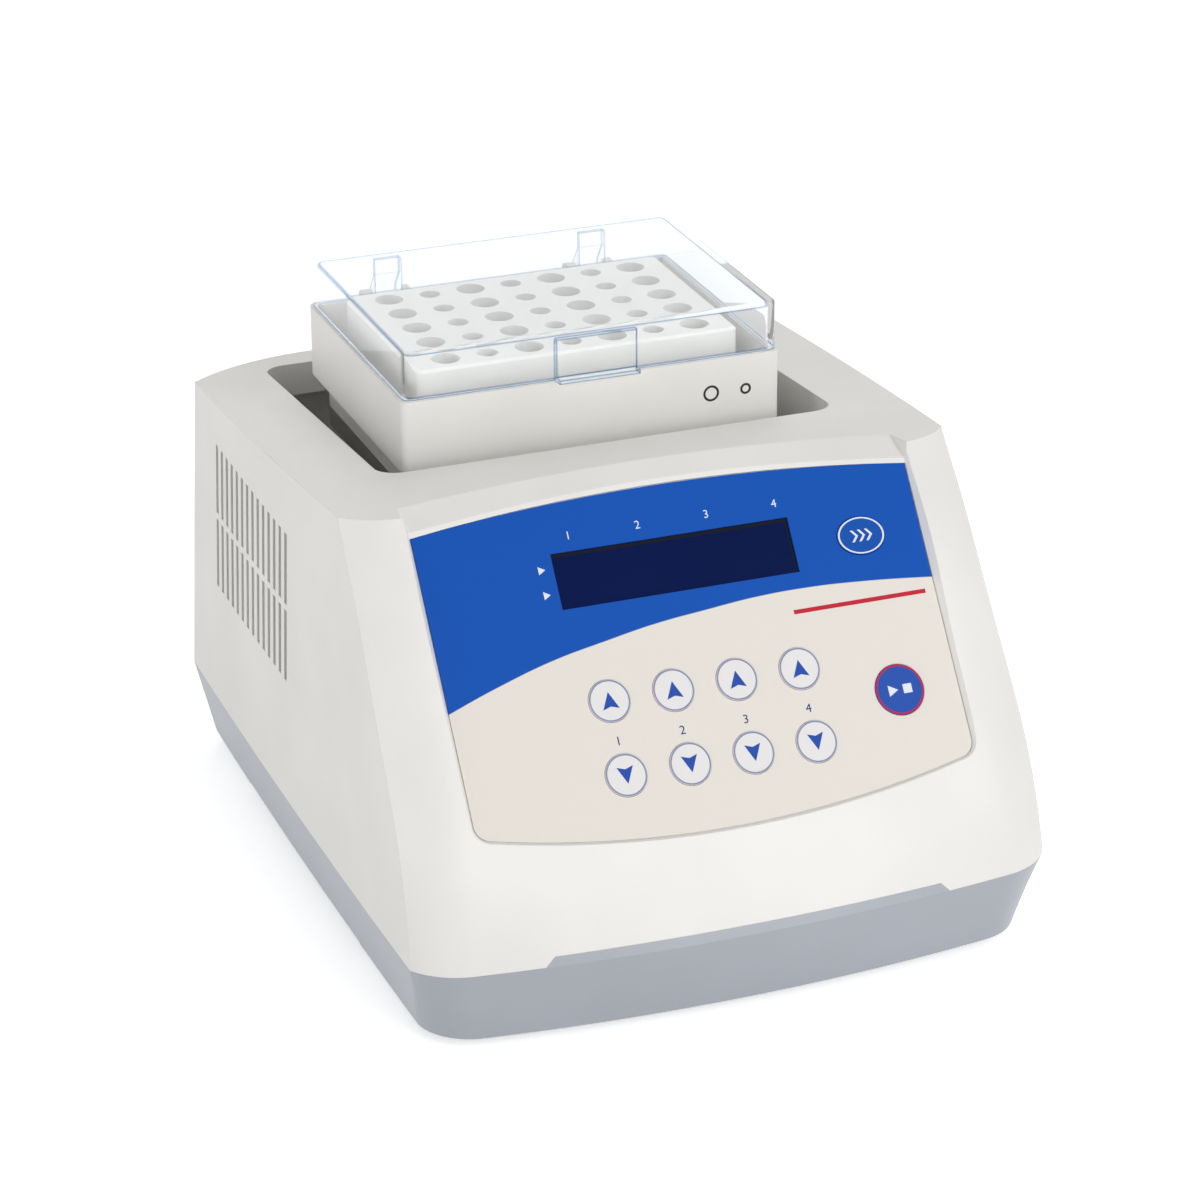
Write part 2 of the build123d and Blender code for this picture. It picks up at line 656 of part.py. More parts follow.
# ---------------------------------------------------------------- upper housing
with BuildPart() as outer_form:
    loft(sections=[body_level(z, 0) for z in LOFT_Z])
    # between the well's rim and the front edge the top swells into a shallow crown
    loft(
        sections=[
            crowned_cut(WELL_FRONT_Y, top_z(WELL_FRONT_Y), BROW_FLAT, 0),
            crowned_cut(TOP_FRONT_Y, TOP_Z, BROW_RISE, 0),
        ],
        ruled=True,
        mode=Mode.SUBTRACT,
    )
    # in front of the crown a strip falls to the keypad's plane, between the same flared walls
    loft(
        sections=[
            crowned_cut(TOP_FRONT_Y, TOP_Z, BROW_RISE, WALL_FLARE),
            crowned_cut(TOP_FRONT_Y - STRIP_REACH, TOP_Z - STRIP_DROP, STRIP_RISE, WALL_FLARE),
        ],
        ruled=True,
        mode=Mode.SUBTRACT,
    )
    # the rest of the top is one plane that falls to the back
    with BuildSketch(Plane.YZ.offset(-CUT_W)):
        with BuildLine():
            Polyline(
                (WELL_FRONT_Y, top_z(WELL_FRONT_Y)),
                (2 * CUT_W, top_z(2 * CUT_W)),
                (2 * CUT_W, CUT_TOP),
                (WELL_FRONT_Y, CUT_TOP),
                close=True,
            )
        make_face()
    extrude(amount=2 * CUT_W, mode=Mode.SUBTRACT)
    for side_x in (-CUT_W, BROW_HALF_W):
        with BuildSketch(Plane.YZ.offset(side_x)):
            with BuildLine():
                Polyline(
                    (WELL_FRONT_Y, top_z(WELL_FRONT_Y)),
                    (-CUT_W, top_z(-CUT_W)),
                    (-CUT_W, CUT_TOP),
                    (WELL_FRONT_Y, CUT_TOP),
                    close=True,
                )
            make_face()
        extrude(amount=CUT_W - BROW_HALF_W, mode=Mode.SUBTRACT)
    # recess that the keypad lies in, open at the top, with flared sides
    loft(
        sections=[
            panel_outline(PANEL, PANEL_GAP, RECESS_REACH),
            panel_outline(
                PANEL.offset(RECESS_H), PANEL_GAP + RECESS_H * tan(radians(RECESS_FLARE)), RECESS_REACH
            ),
        ],
        ruled=True,
        mode=Mode.SUBTRACT,
    )

with BuildPart() as cavity:
    loft(sections=[body_level(z, WALL) for z in CAVITY_Z], ruled=True)
    split(bisect_by=TOP.offset(-WALL), keep=Keep.BOTTOM)
    split(bisect_by=STRIP.offset(-WALL), keep=Keep.BOTTOM)
    split(bisect_by=PANEL.offset(PANEL_INNER), keep=Keep.BOTTOM)
    # wall that hangs round the well
    with BuildSketch(Plane.XY.offset(SKIRT_Z)):
        with Locations(WELL_AT):
            RectangleRounded(2 * (WELL_HALF_W + SKIRT_T), WELL_L + 2 * SKIRT_T, WELL_R + SKIRT_T)
    extrude(amount=CUT_TOP - SKIRT_Z, mode=Mode.SUBTRACT)

with BuildPart() as seam_notch:
    with BuildSketch(Plane.XZ.offset(-BASE_FRONT_Y - CORNER_DX)):
        with BuildLine():
            Polyline(
                (-TONGUE_HALF_W - TONGUE_H, SEAM_Z),
                (-TONGUE_HALF_W, SEAM_Z + TONGUE_H),
                (TONGUE_HALF_W, SEAM_Z + TONGUE_H),
                (TONGUE_HALF_W + TONGUE_H, SEAM_Z),
                close=True,
            )
        make_face()
    extrude(amount=2 * CORNER_DX)

with BuildPart() as upper_housing:
    add(outer_form)
    # pocket for the keypad, then the holes behind it
    extrude(panel_outline(PANEL.offset(-PANEL_T), PANEL_GAP), amount=PANEL_T + 1, mode=Mode.SUBTRACT)
    add(cavity, mode=Mode.SUBTRACT)
    with BuildSketch(Plane.XY.offset(SKIRT_Z - 1)):
        with Locations(WELL_AT):
            RectangleRounded(2 * WELL_HALF_W, WELL_L, WELL_R)
    extrude(amount=CUT_TOP - SKIRT_Z, mode=Mode.SUBTRACT)
    # bosses that carry the control board
    with BuildSketch(PANEL.offset(PANEL_INNER + 0.5)):
        with Locations(BOARD_BOSSES):
            Circle(BOARD_BOSS_R)
    extrude(amount=BOARD_TOP - PANEL_INNER - 0.5)
    with BuildSketch(PANEL.offset(BOARD_TOP)):
        with Locations(BOARD_BOSSES):
            Circle(BOARD_HOLE_R)
    extrude(amount=BOARD_SCREW_L, mode=Mode.SUBTRACT)
    with BuildSketch(PANEL.offset(PANEL_INNER - 1)):
        with Locations(KEY_AT):
            Circle(KEY_R + HOLE_GAP)
        with Locations(START_AT):
            Circle(START_R + HOLE_GAP)
        with Locations(PULSE_AT):
            Ellipse(PULSE_HALF_W + HOLE_GAP, PULSE_HALF_H + HOLE_GAP)
        with Locations(LCD_AT):
            Rectangle(LCD_W, LCD_H)
    extrude(amount=WALL + 2, mode=Mode.SUBTRACT)
    with BuildSketch(PANEL.offset(-PANEL_T - LENS_GAP - LENS_T)):
        with Locations(LCD_AT):
            Rectangle(LCD_W + 2 * (LENS_LAP + LENS_GAP), LCD_H + 2 * (LENS_LAP + LENS_GAP))
    extrude(amount=LENS_T + LENS_GAP + 0.5, mode=Mode.SUBTRACT)
    # posts for the screws that come up through the tray, each with a rib to the side wall
    with BuildSketch(Plane.XY.offset(SEAM_Z)):
        with Locations(POST_AT):
            Circle(POST_R)
        with Locations(RIB_AT):
            Rectangle(POST_RIB_L, WALL)
    extrude(amount=POST_H)
    with BuildSketch(Plane.XY.offset(SEAM_Z)):
        with Locations(POST_AT):
            Circle(CASE_SCREW_R + CASE_SCREW_GAP)
    extrude(amount=CASE_SCREW_TOP_Z + 1 - SEAM_Z, mode=Mode.SUBTRACT)
    # louvre slots in both sides
    for side in (1, -1):
        with BuildSketch(Plane.YZ.offset(side * VENT_INNER_X)):
            for row_z in VENT_ROW_Z:
                with Locations((VENT_FRONT_Y + VENT_PITCH * (VENT_COUNT - 1) / 2, row_z)):
                    with GridLocations(VENT_PITCH, 1, VENT_COUNT, 1):
                        Rectangle(VENT_W, VENT_L)
        extrude(amount=side * (CUT_W - VENT_INNER_X), mode=Mode.SUBTRACT)
    # sunken panel in the rear wall for the inlet and the switch
    with BuildSketch(Plane.XZ.offset(-REAR_PANEL_Y + WALL)):
        with Locations((REAR_PANEL_X, REAR_PANEL_Z)):
            Rectangle(REAR_PANEL_W + 2 * WALL, REAR_PANEL_H + 2 * WALL)
    extrude(amount=-REAR_PAD_T)
    with BuildSketch(Plane.XZ.offset(-REAR_PANEL_Y)):
        with Locations((REAR_PANEL_X, REAR_PANEL_Z)):
            Rectangle(REAR_PANEL_W, REAR_PANEL_H)
    extrude(amount=-CUT_W, mode=Mode.SUBTRACT)
    with BuildSketch(Plane.XZ.offset(-REAR_PANEL_Y)):
        with Locations((INLET_X, REAR_PANEL_Z)):
            Rectangle(INLET_W + 2 * INLET_GAP, INLET_H + 2 * INLET_GAP)
        with Locations(INLET_SCREW_AT):
            Circle(INLET_SCREW_R + CASE_SCREW_GAP)
        with Locations((SWITCH_X, REAR_PANEL_Z)):
            Rectangle(ROCKER_W + 2 * BEZEL_T + 2 * INLET_GAP, ROCKER_L + 2 * BEZEL_T + 2 * INLET_GAP)
    extrude(amount=2 * WALL, mode=Mode.SUBTRACT)
    add(seam_notch, mode=Mode.SUBTRACT)
upper_housing.part.label = "upper_housing"
export_step(upper_housing.part, "parts/upper_housing.step")

with BuildPart() as seam_tongue:
    add(outer_form)
    add(cavity, mode=Mode.SUBTRACT)
    add(seam_notch, mode=Mode.INTERSECT)

# ---------------------------------------------------------------- tray
with BuildPart() as base_tray:
    loft(
        sections=[base_level(FOOT_H, BASE_EDGE), base_level(FOOT_H + BASE_EDGE, 0), base_level(SEAM_Z, 0)],
        ruled=True,
    )
    loft(
        sections=[base_level(FLOOR_Z, BASE_WALL), base_level(SEAM_Z, BASE_WALL)],
        ruled=True,
        mode=Mode.SUBTRACT,
    )
    add(seam_tongue)
    # thicker floor along both sides, over the lifted lower edge
    with BuildSketch(Plane.XY.offset(FLOOR_Z - 0.5)):
        for side in (1, -1):
            with Locations((side * RELIEF_MID_X, (RELIEF_FRONT_Y + RELIEF_REAR_Y) / 2)):
                Rectangle(RELIEF_W, RELIEF_REAR_Y - RELIEF_FRONT_Y + 2 * BASE_WALL)
    extrude(amount=RELIEF_H + 0.5)
    for side in (1, -1):
        with BuildSketch(Plane.YZ.offset(side * RELIEF_CUT_X)):
            with BuildLine():
                Polyline(
                    (RELIEF_FRONT_Y - RELIEF_H, FOOT_H),
                    (RELIEF_FRONT_Y, FOOT_H + RELIEF_H),
                    (RELIEF_REAR_Y, FOOT_H + RELIEF_H),
                    (RELIEF_REAR_Y + RELIEF_H, FOOT_H),
                    close=True,
                )
            make_face()
        extrude(amount=side * CUT_W / 4, mode=Mode.SUBTRACT)
    with BuildSketch(Plane.XY.offset(FOOT_H)):
        with Locations(FOOT_AT):
            Circle(FOOT_R + FOOT_GAP)
    extrude(amount=FOOT_SEAT, mode=Mode.SUBTRACT)
    # screw posts, bracket pads and board posts stand on the floor
    with BuildSketch(Plane.XY.offset(FLOOR_Z - 0.5)):
        with Locations(POST_AT):
            Circle(POST_R)
    extrude(amount=SEAM_Z - FLOOR_Z + 0.5)
    with BuildSketch(Plane.XY.offset(FOOT_H)):
        with Locations(POST_AT):
            Circle(CASE_SCREW_R + CASE_SCREW_GAP)
    extrude(amount=SEAM_Z, mode=Mode.SUBTRACT)
    with BuildSketch(Plane.XY.offset(FOOT_H)):
        with Locations(POST_AT):
            Circle(CASE_HEAD_R + CASE_SCREW_GAP)
    extrude(amount=CASE_HEAD_SEAT, mode=Mode.SUBTRACT)
    with BuildSketch(Plane.XY.offset(FLOOR_Z - 0.5)):
        with Locations(BRACKET_FOOT_AT):
            Rectangle(BRACKET_FOOT_L, BRACKET_PAD_L)
        with Locations(SUPPLY_POST_AT + DRIVER_POST_AT):
            Rectangle(2 * BOARD_BOSS_R, 2 * BOARD_BOSS_R)
    extrude(amount=BRACKET_PAD_H + 0.5)
    with BuildSketch(Plane.XY.offset(FLOOR_Z + 0.5)):
        with Locations(BRACKET_FOOT_AT):
            Circle(BRACKET_SCREW_R + CASE_SCREW_GAP)
        with Locations(SUPPLY_POST_AT + DRIVER_POST_AT):
            Circle(BOARD_HOLE_R)
    extrude(amount=BRACKET_PAD_H, mode=Mode.SUBTRACT)
base_tray.part.label = "base_tray"
export_step(base_tray.part, "parts/base_tray.step")

with BuildPart() as rubber_feet:
    with BuildSketch():
        with Locations(FOOT_AT):
            Circle(FOOT_R)
    extrude(amount=FOOT_H + FOOT_SEAT)
    chamfer(rubber_feet.edges().group_by(Axis.Z)[0], 0.8)
rubber_feet.part.label = "rubber_feet"
export_step(rubber_feet.part, "parts/rubber_feet.step")

with BuildPart() as case_screws:
    with BuildSketch(Plane.XY.offset(FOOT_H + CASE_HEAD_SEAT - CASE_HEAD_H)):
        with Locations(POST_AT):
            RegularPolygon(CASE_HEAD_R, 6)
    extrude(amount=CASE_HEAD_H)
    with BuildSketch(Plane.XY.offset(FOOT_H + CASE_HEAD_SEAT)):
        with Locations(POST_AT):
            Circle(CASE_SCREW_R)
    extrude(amount=CASE_SCREW_TOP_Z - FOOT_H - CASE_HEAD_SEAT)
case_screws.part.label = "case_screws"
export_step(case_screws.part, "parts/case_screws.step")

# ---------------------------------------------------------------- keypad, keys and electronics behind them
with BuildPart() as keypad_overlay:
    extrude(panel_outline(PANEL.offset(-PANEL_T), 0), amount=PANEL_T)
    with BuildSketch(PANEL.offset(-PANEL_T)):
        with Locations(KEY_AT):
            Circle(KEY_R + KEY_GAP)
        with Locations(START_AT):
            Circle(START_R + KEY_GAP)
        with Locations(PULSE_AT):
            Ellipse(PULSE_HALF_W + KEY_GAP, PULSE_HALF_H + KEY_GAP)
        with Locations(LCD_AT):
            Rectangle(LCD_W, LCD_H)
    extrude(amount=PANEL_T, mode=Mode.SUBTRACT)
keypad_overlay.part.label = "keypad_overlay"
export_step(keypad_overlay.part, "parts/keypad_overlay.step")

with BuildPart() as lcd_window:
    with BuildSketch(PANEL.offset(-PANEL_T - LENS_T)):
        with Locations(LCD_AT):
            Rectangle(LCD_W + 2 * LENS_LAP, LCD_H + 2 * LENS_LAP)
    extrude(amount=LENS_T)
lcd_window.part.label = "lcd_window"
export_step(lcd_window.part, "parts/lcd_window.step")

with BuildPart() as lcd_module:
    with BuildSketch(PANEL.offset(BOARD_TOP)):
        with Locations(LCD_AT):
            Rectangle(LCD_MODULE_W, LCD_MODULE_H)
    extrude(amount=PANEL_INNER - BOARD_TOP - LENS_GAP)
    # glass that stands into the housing's window
    with BuildSketch(PANEL.offset(PANEL_INNER - LENS_GAP)):
        with Locations(LCD_AT):
            Rectangle(LCD_W - 2 * LENS_GAP, LCD_H - 2 * LENS_GAP)
    extrude(amount=LCD_GLASS_H)
lcd_module.part.label = "lcd_module"
export_step(lcd_module.part, "parts/lcd_module.step")

KEY_NAMES = [
    "step_up_key",
    "temperature_up_key",
    "speed_up_key",
    "time_up_key",
    "step_down_key",
    "temperature_down_key",
    "speed_down_key",
    "time_down_key",
]
for key_name, key_at in zip(KEY_NAMES, KEY_AT):
    with BuildPart() as arrow_key:
        with BuildSketch(PANEL.offset(KEY_BOTTOM)):
            with Locations(key_at):
                Circle(KEY_R)
        extrude(amount=KEY_T)
        with BuildSketch(PANEL.offset(STEM_BOTTOM)):
            with Locations(key_at):
                Rectangle(2 * KEY_STEM_R, 2 * KEY_STEM_R)
        extrude(amount=KEY_STEM_L)
    arrow_key.part.label = key_name
    export_step(arrow_key.part, f"parts/{key_name}.step")

with BuildPart() as start_stop_key:
    with BuildSketch(PANEL.offset(KEY_BOTTOM)):
        with Locations(START_AT):
            Circle(START_R)
    extrude(amount=KEY_T)
    with BuildSketch(PANEL.offset(STEM_BOTTOM)):
        with Locations(START_AT):
            Rectangle(2 * KEY_STEM_R, 2 * KEY_STEM_R)
    extrude(amount=KEY_STEM_L)
start_stop_key.part.label = "start_stop_key"
export_step(start_stop_key.part, "parts/start_stop_key.step")

with BuildPart() as pulse_key:
    with BuildSketch(PANEL.offset(KEY_BOTTOM)):
        with Locations(PULSE_AT):
            Ellipse(PULSE_HALF_W, PULSE_HALF_H)
    extrude(amount=KEY_T)
    with BuildSketch(PANEL.offset(STEM_BOTTOM)):
        with Locations(PULSE_AT):
            Rectangle(2 * KEY_STEM_R, 2 * KEY_STEM_R)
    extrude(amount=KEY_STEM_L)
pulse_key.part.label = "pulse_key"
export_step(pulse_key.part, "parts/pulse_key.step")

with BuildPart() as tactile_switches:
    with BuildSketch(PANEL.offset(BOARD_TOP)):
        with Locations(SWITCH_AT):
            Rectangle(SWITCH_W, SWITCH_W)
    extrude(amount=SWITCH_H)
    with BuildSketch(PANEL.offset(BOARD_TOP + SWITCH_H)):
        with Locations(SWITCH_AT):
            Rectangle(2 * PLUNGER_R, 2 * PLUNGER_R)
    extrude(amount=PLUNGER_H)
tactile_switches.part.label = "tactile_switches"
export_step(tactile_switches.part, "parts/tactile_switches.step")

with BuildPart() as control_board:
    with BuildSketch(PANEL.offset(BOARD_TOP - BOARD_T)):
        with Locations(BOARD_AT):
            Rectangle(BOARD_W, BOARD_L)
        with Locations(BOARD_BOSSES):
            Circle(BOARD_SCREW_R + BOARD_HOLE_GAP, mode=Mode.SUBTRACT)
    extrude(amount=BOARD_T)
control_board.part.label = "control_board"
export_step(control_board.part, "parts/control_board.step")

with BuildPart() as board_screws:
    with BuildSketch(PANEL.offset(BOARD_TOP - BOARD_T - SCREW_HEAD_H)):
        with Locations(BOARD_BOSSES):
            RegularPolygon(SCREW_HEAD_R, 6)
    extrude(amount=SCREW_HEAD_H)
    with BuildSketch(PANEL.offset(BOARD_TOP - BOARD_T)):
        with Locations(BOARD_BOSSES):
            Circle(BOARD_SCREW_R)
    extrude(amount=BOARD_T + BOARD_SCREW_L - 0.5)
board_screws.part.label = "board_screws"
export_step(board_screws.part, "parts/board_screws.step")

# ---------------------------------------------------------------- bracket, motor and fan
with BuildPart() as motor_bracket:
    # hat section, folded from sheet
    with BuildSketch(Plane.XZ.offset(-SHAFT_Y + BRACKET_HALF_Y)):
        with BuildLine():
            for side in (1, -1):
                Polyline(
                    (SHAFT_X, BRACKET_TOP_Z),
                    (SHAFT_X + side * BRACKET_HALF_X, BRACKET_TOP_Z),
                    (SHAFT_X + side * BRACKET_HALF_X, SUPPORT_Z + BRACKET_T),
                    (SHAFT_X + side * (BRACKET_HALF_X + BRACKET_FOOT_L), SUPPORT_Z + BRACKET_T),
                    (SHAFT_X + side * (BRACKET_HALF_X + BRACKET_FOOT_L), SUPPORT_Z),
                    (SHAFT_X + side * (BRACKET_HALF_X - BRACKET_T), SUPPORT_Z),
                    (SHAFT_X + side * (BRACKET_HALF_X - BRACKET_T), BRACKET_TOP_Z - BRACKET_T),
                    (SHAFT_X, BRACKET_TOP_Z - BRACKET_T),
                )
        make_face()
    extrude(amount=-2 * BRACKET_HALF_Y)
    fillet(
        motor_bracket.edges().filter_by(Axis.Y).filter_by(lambda e: e.center().Z > BRACKET_TOP_Z - 0.1),
        BRACKET_T + 1,
    )
    with BuildSketch(Plane.XY.offset(BRACKET_TOP_Z - BRACKET_T)):
        with Locations((SHAFT_X, SHAFT_Y)):
            Circle(MOTOR_NOSE_R + BOARD_HOLE_GAP)
            with PolarLocations(MOTOR_HOLE_PCD_R, 4, start_angle=45):
                Circle(BRACKET_SCREW_R + CASE_SCREW_GAP)
    extrude(amount=BRACKET_T, mode=Mode.SUBTRACT)
    with BuildSketch(Plane.XY.offset(SUPPORT_Z)):
        with Locations(BRACKET_FOOT_AT):
            Circle(BRACKET_SCREW_R + CASE_SCREW_GAP)
    extrude(amount=BRACKET_T, mode=Mode.SUBTRACT)
    # the fan blows across the motor through the left leg, and out through the right one
    with BuildSketch(Plane.YZ.offset(SHAFT_X - BRACKET_HALF_X - 1)):
        with Locations((SHAFT_Y, FAN_Z)):
            Circle(FAN_BORE_R)
            with GridLocations(FAN_HOLE_PITCH, FAN_HOLE_PITCH, 2, 2):
                Circle(BRACKET_SCREW_R + CASE_SCREW_GAP)
    extrude(amount=BRACKET_T + 2, mode=Mode.SUBTRACT)
    with BuildSketch(Plane.YZ.offset(SHAFT_X + BRACKET_HALF_X - BRACKET_T - 1)):
        with Locations((SHAFT_Y, FAN_Z)):
            with GridLocations(BRACKET_WINDOW_PITCH, 1, 3, 1):
                SlotOverall(BRACKET_WINDOW_L, BRACKET_WINDOW_W, rotation=90)
    extrude(amount=BRACKET_T + 2, mode=Mode.SUBTRACT)
motor_bracket.part.label = "motor_bracket"
export_step(motor_bracket.part, "parts/motor_bracket.step")

with BuildPart() as bracket_screws:
    with BuildSketch(Plane.XY.offset(SUPPORT_Z + BRACKET_T)):
        with Locations(BRACKET_FOOT_AT):
            RegularPolygon(CASE_HEAD_R, 6)
    extrude(amount=CASE_HEAD_H)
    with BuildSketch(Plane.XY.offset(FLOOR_Z + 1)):
        with Locations(BRACKET_FOOT_AT):
            Circle(BRACKET_SCREW_R)
    extrude(amount=BRACKET_PAD_H - 1 + BRACKET_T)
bracket_screws.part.label = "bracket_screws"
export_step(bracket_screws.part, "parts/bracket_screws.step")

with BuildPart() as motor_body:
    with BuildSketch(Plane.XY.offset(MOTOR_TOP_Z - MOTOR_H)):
        with Locations((SHAFT_X, SHAFT_Y)):
            Circle(MOTOR_R)
    extrude(amount=MOTOR_H)
    chamfer(motor_body.edges().group_by(Axis.Z)[0], 2.5)
    with BuildSketch(Plane.XY.offset(MOTOR_TOP_Z)):
        with Locations((SHAFT_X, SHAFT_Y)):
            Circle(MOTOR_NOSE_R)
    extrude(amount=MOTOR_NOSE_H)
    with BuildSketch(Plane.XY.offset(SHAFT_BOTTOM_Z - 1)):
        with Locations((SHAFT_X, SHAFT_Y)):
            Circle(SHAFT_R + RUN_GAP)
    extrude(amount=MOTOR_H, mode=Mode.SUBTRACT)
    with BuildSketch(Plane.XY.offset(MOTOR_TOP_Z)):
        with Locations((SHAFT_X, SHAFT_Y)):
            with PolarLocations(MOTOR_HOLE_PCD_R, 4, start_angle=45):
                Circle(BRACKET_SCREW_R + CASE_SCREW_GAP)
    extrude(amount=-MOTOR_SCREW_L - 1, mode=Mode.SUBTRACT)
motor_body.part.label = "motor_body"
export_step(motor_body.part, "parts/motor_body.step")

with BuildPart() as motor_screws:
    with BuildSketch(Plane.XY.offset(BRACKET_TOP_Z)):
        with Locations((SHAFT_X, SHAFT_Y)):
            with PolarLocations(MOTOR_HOLE_PCD_R, 4, start_angle=45):
                RegularPolygon(CASE_HEAD_R, 6)
    extrude(amount=SCREW_HEAD_H)
    with BuildSketch(Plane.XY.offset(BRACKET_TOP_Z)):
        with Locations((SHAFT_X, SHAFT_Y)):
            with PolarLocations(MOTOR_HOLE_PCD_R, 4, start_angle=45):
                Circle(BRACKET_SCREW_R)
    extrude(amount=-BRACKET_T - MOTOR_SCREW_L)
motor_screws.part.label = "motor_screws"
export_step(motor_screws.part, "parts/motor_screws.step")

with BuildPart() as fan_frame:
    with BuildSketch(Plane.YZ.offset(FAN_FACE_X - FAN_T)):
        with Locations((SHAFT_Y, FAN_Z)):
            RectangleRounded(FAN_W, FAN_W, 5)
            Circle(FAN_BORE_R, mode=Mode.SUBTRACT)
            with GridLocations(FAN_HOLE_PITCH, FAN_HOLE_PITCH, 2, 2):
                Circle(BRACKET_SCREW_R + CASE_SCREW_GAP, mode=Mode.SUBTRACT)
    extrude(amount=FAN_T)
    with BuildSketch(Plane.YZ.offset(FAN_FACE_X - FAN_STRUT_T)):
        with Locations((SHAFT_Y, FAN_Z)):
            Circle(FAN_HUB_R)
            Rectangle(2 * FAN_BORE_R + 1, FAN_STRUT_W)
            Rectangle(FAN_STRUT_W, 2 * FAN_BORE_R + 1)
    extrude(amount=FAN_STRUT_T)
    with BuildSketch(Plane.YZ.offset(FAN_FACE_X - FAN_STRUT_T)):
        with Locations((SHAFT_Y, FAN_Z)):
            Circle(FAN_PIN_R)
    extrude(amount=FAN_STRUT_T + 2 - FAN_T)
fan_frame.part.label = "fan_frame"
export_step(fan_frame.part, "parts/fan_frame.step")

with BuildPart() as fan_rotor:
    with BuildSketch(Plane.YZ.offset(FAN_FACE_X - FAN_STRUT_T - FAN_END_GAP)):
        with Locations((SHAFT_Y, FAN_Z)):
            Circle(FAN_HUB_R)
            Circle(FAN_PIN_R + RUN_GAP, mode=Mode.SUBTRACT)
    extrude(amount=-FAN_ROTOR_T)
    for i in range(FAN_BLADES):
        blade = Plane(
            origin=(FAN_FACE_X - FAN_STRUT_T - FAN_END_GAP - FAN_ROTOR_T / 2, SHAFT_Y, FAN_Z),
            x_dir=(1, 0, 0),
            z_dir=(0, cos(radians(360 / FAN_BLADES * i)), sin(radians(360 / FAN_BLADES * i))),
        )
        with BuildSketch(blade.offset(FAN_HUB_R - 1)):
            Rectangle(FAN_CHORD, FAN_BLADE_T, rotation=FAN_PITCH)
        extrude(amount=FAN_TIP_R - FAN_HUB_R + 1)
fan_rotor.part.label = "fan_rotor"
export_step(fan_rotor.part, "parts/fan_rotor.step")

with BuildPart() as fan_screws:
    with BuildSketch(Plane.YZ.offset(FAN_FACE_X - FAN_T)):
        with Locations((SHAFT_Y, FAN_Z)):
            with GridLocations(FAN_HOLE_PITCH, FAN_HOLE_PITCH, 2, 2):
                Circle(BRACKET_SCREW_R)
    extrude(amount=FAN_T + BRACKET_T)
    with BuildSketch(Plane.YZ.offset(FAN_FACE_X - FAN_T)):
        with Locations((SHAFT_Y, FAN_Z)):
            with GridLocations(FAN_HOLE_PITCH, FAN_HOLE_PITCH, 2, 2):
                RegularPolygon(SCREW_HEAD_R, 6)
    extrude(amount=-SCREW_HEAD_H)
fan_screws.part.label = "fan_screws"
export_step(fan_screws.part, "parts/fan_screws.step")

# ---------------------------------------------------------------- crank: shaft, flywheel, pin and bearing
with BuildPart() as motor_shaft:
    with BuildSketch(Plane.XY.offset(SHAFT_BOTTOM_Z)):
        with Locations((SHAFT_X, SHAFT_Y)):
            Circle(SHAFT_R)
    extrude(amount=FLYWHEEL_Z + FLYWHEEL_H - SHAFT_BOTTOM_Z)
motor_shaft.part.label = "motor_shaft"
export_step(motor_shaft.part, "parts/motor_shaft.step")

with BuildPart() as eccentric_flywheel:
    with BuildSketch(Plane.XY.offset(FLYWHEEL_Z)):
        with Locations((SHAFT_X, SHAFT_Y)):
            Circle(FLYWHEEL_R)
    extrude(amount=FLYWHEEL_H)
    chamfer(eccentric_flywheel.edges(), 1)
    with BuildSketch(Plane.XY.offset(FLYWHEEL_Z + FLYWHEEL_H)):
        with Locations((SHAFT_X, SHAFT_Y)):
            Circle(HUB_R)
    extrude(amount=HUB_H)
    with BuildSketch(Plane.XY.offset(HUB_TOP_Z)):
        with Locations((PIN_X, SHAFT_Y)):
            Circle(PIN_R)
    extrude(amount=PIN_TOP_Z - HUB_TOP_Z)
    chamfer(eccentric_flywheel.edges().group_by(Axis.Z)[-1], 0.5)
    with BuildSketch(Plane.XY.offset(FLYWHEEL_Z)):
        with Locations((SHAFT_X, SHAFT_Y)):
            Circle(SHAFT_R + FIT_GAP)
    extrude(amount=FLYWHEEL_H, mode=Mode.SUBTRACT)
eccentric_flywheel.part.label = "eccentric_flywheel"
export_step(eccentric_flywheel.part, "parts/eccentric_flywheel.step")

with BuildPart() as counterweight:
    with BuildSketch(Plane.XY.offset(FLYWHEEL_Z + FLYWHEEL_H)):
        with BuildLine():
            half = radians(WEIGHT_ARC / 2)
            outer_r = FLYWHEEL_R - 2
            ThreePointArc(
                (SHAFT_X + outer_r * cos(half), SHAFT_Y - outer_r * sin(half)),
                (SHAFT_X + outer_r, SHAFT_Y),
                (SHAFT_X + outer_r * cos(half), SHAFT_Y + outer_r * sin(half)),
            )
            Line(
                (SHAFT_X + outer_r * cos(half), SHAFT_Y + outer_r * sin(half)),
                (SHAFT_X + WEIGHT_INNER_R * cos(half), SHAFT_Y + WEIGHT_INNER_R * sin(half)),
            )
            ThreePointArc(
                (SHAFT_X + WEIGHT_INNER_R * cos(half), SHAFT_Y + WEIGHT_INNER_R * sin(half)),
                (SHAFT_X + WEIGHT_INNER_R, SHAFT_Y),
                (SHAFT_X + WEIGHT_INNER_R * cos(half), SHAFT_Y - WEIGHT_INNER_R * sin(half)),
            )
            Line(
                (SHAFT_X + WEIGHT_INNER_R * cos(half), SHAFT_Y - WEIGHT_INNER_R * sin(half)),
                (SHAFT_X + outer_r * cos(half), SHAFT_Y - outer_r * sin(half)),
            )
        make_face()
    extrude(amount=WEIGHT_H)
counterweight.part.label = "counterweight"
export_step(counterweight.part, "parts/counterweight.step")

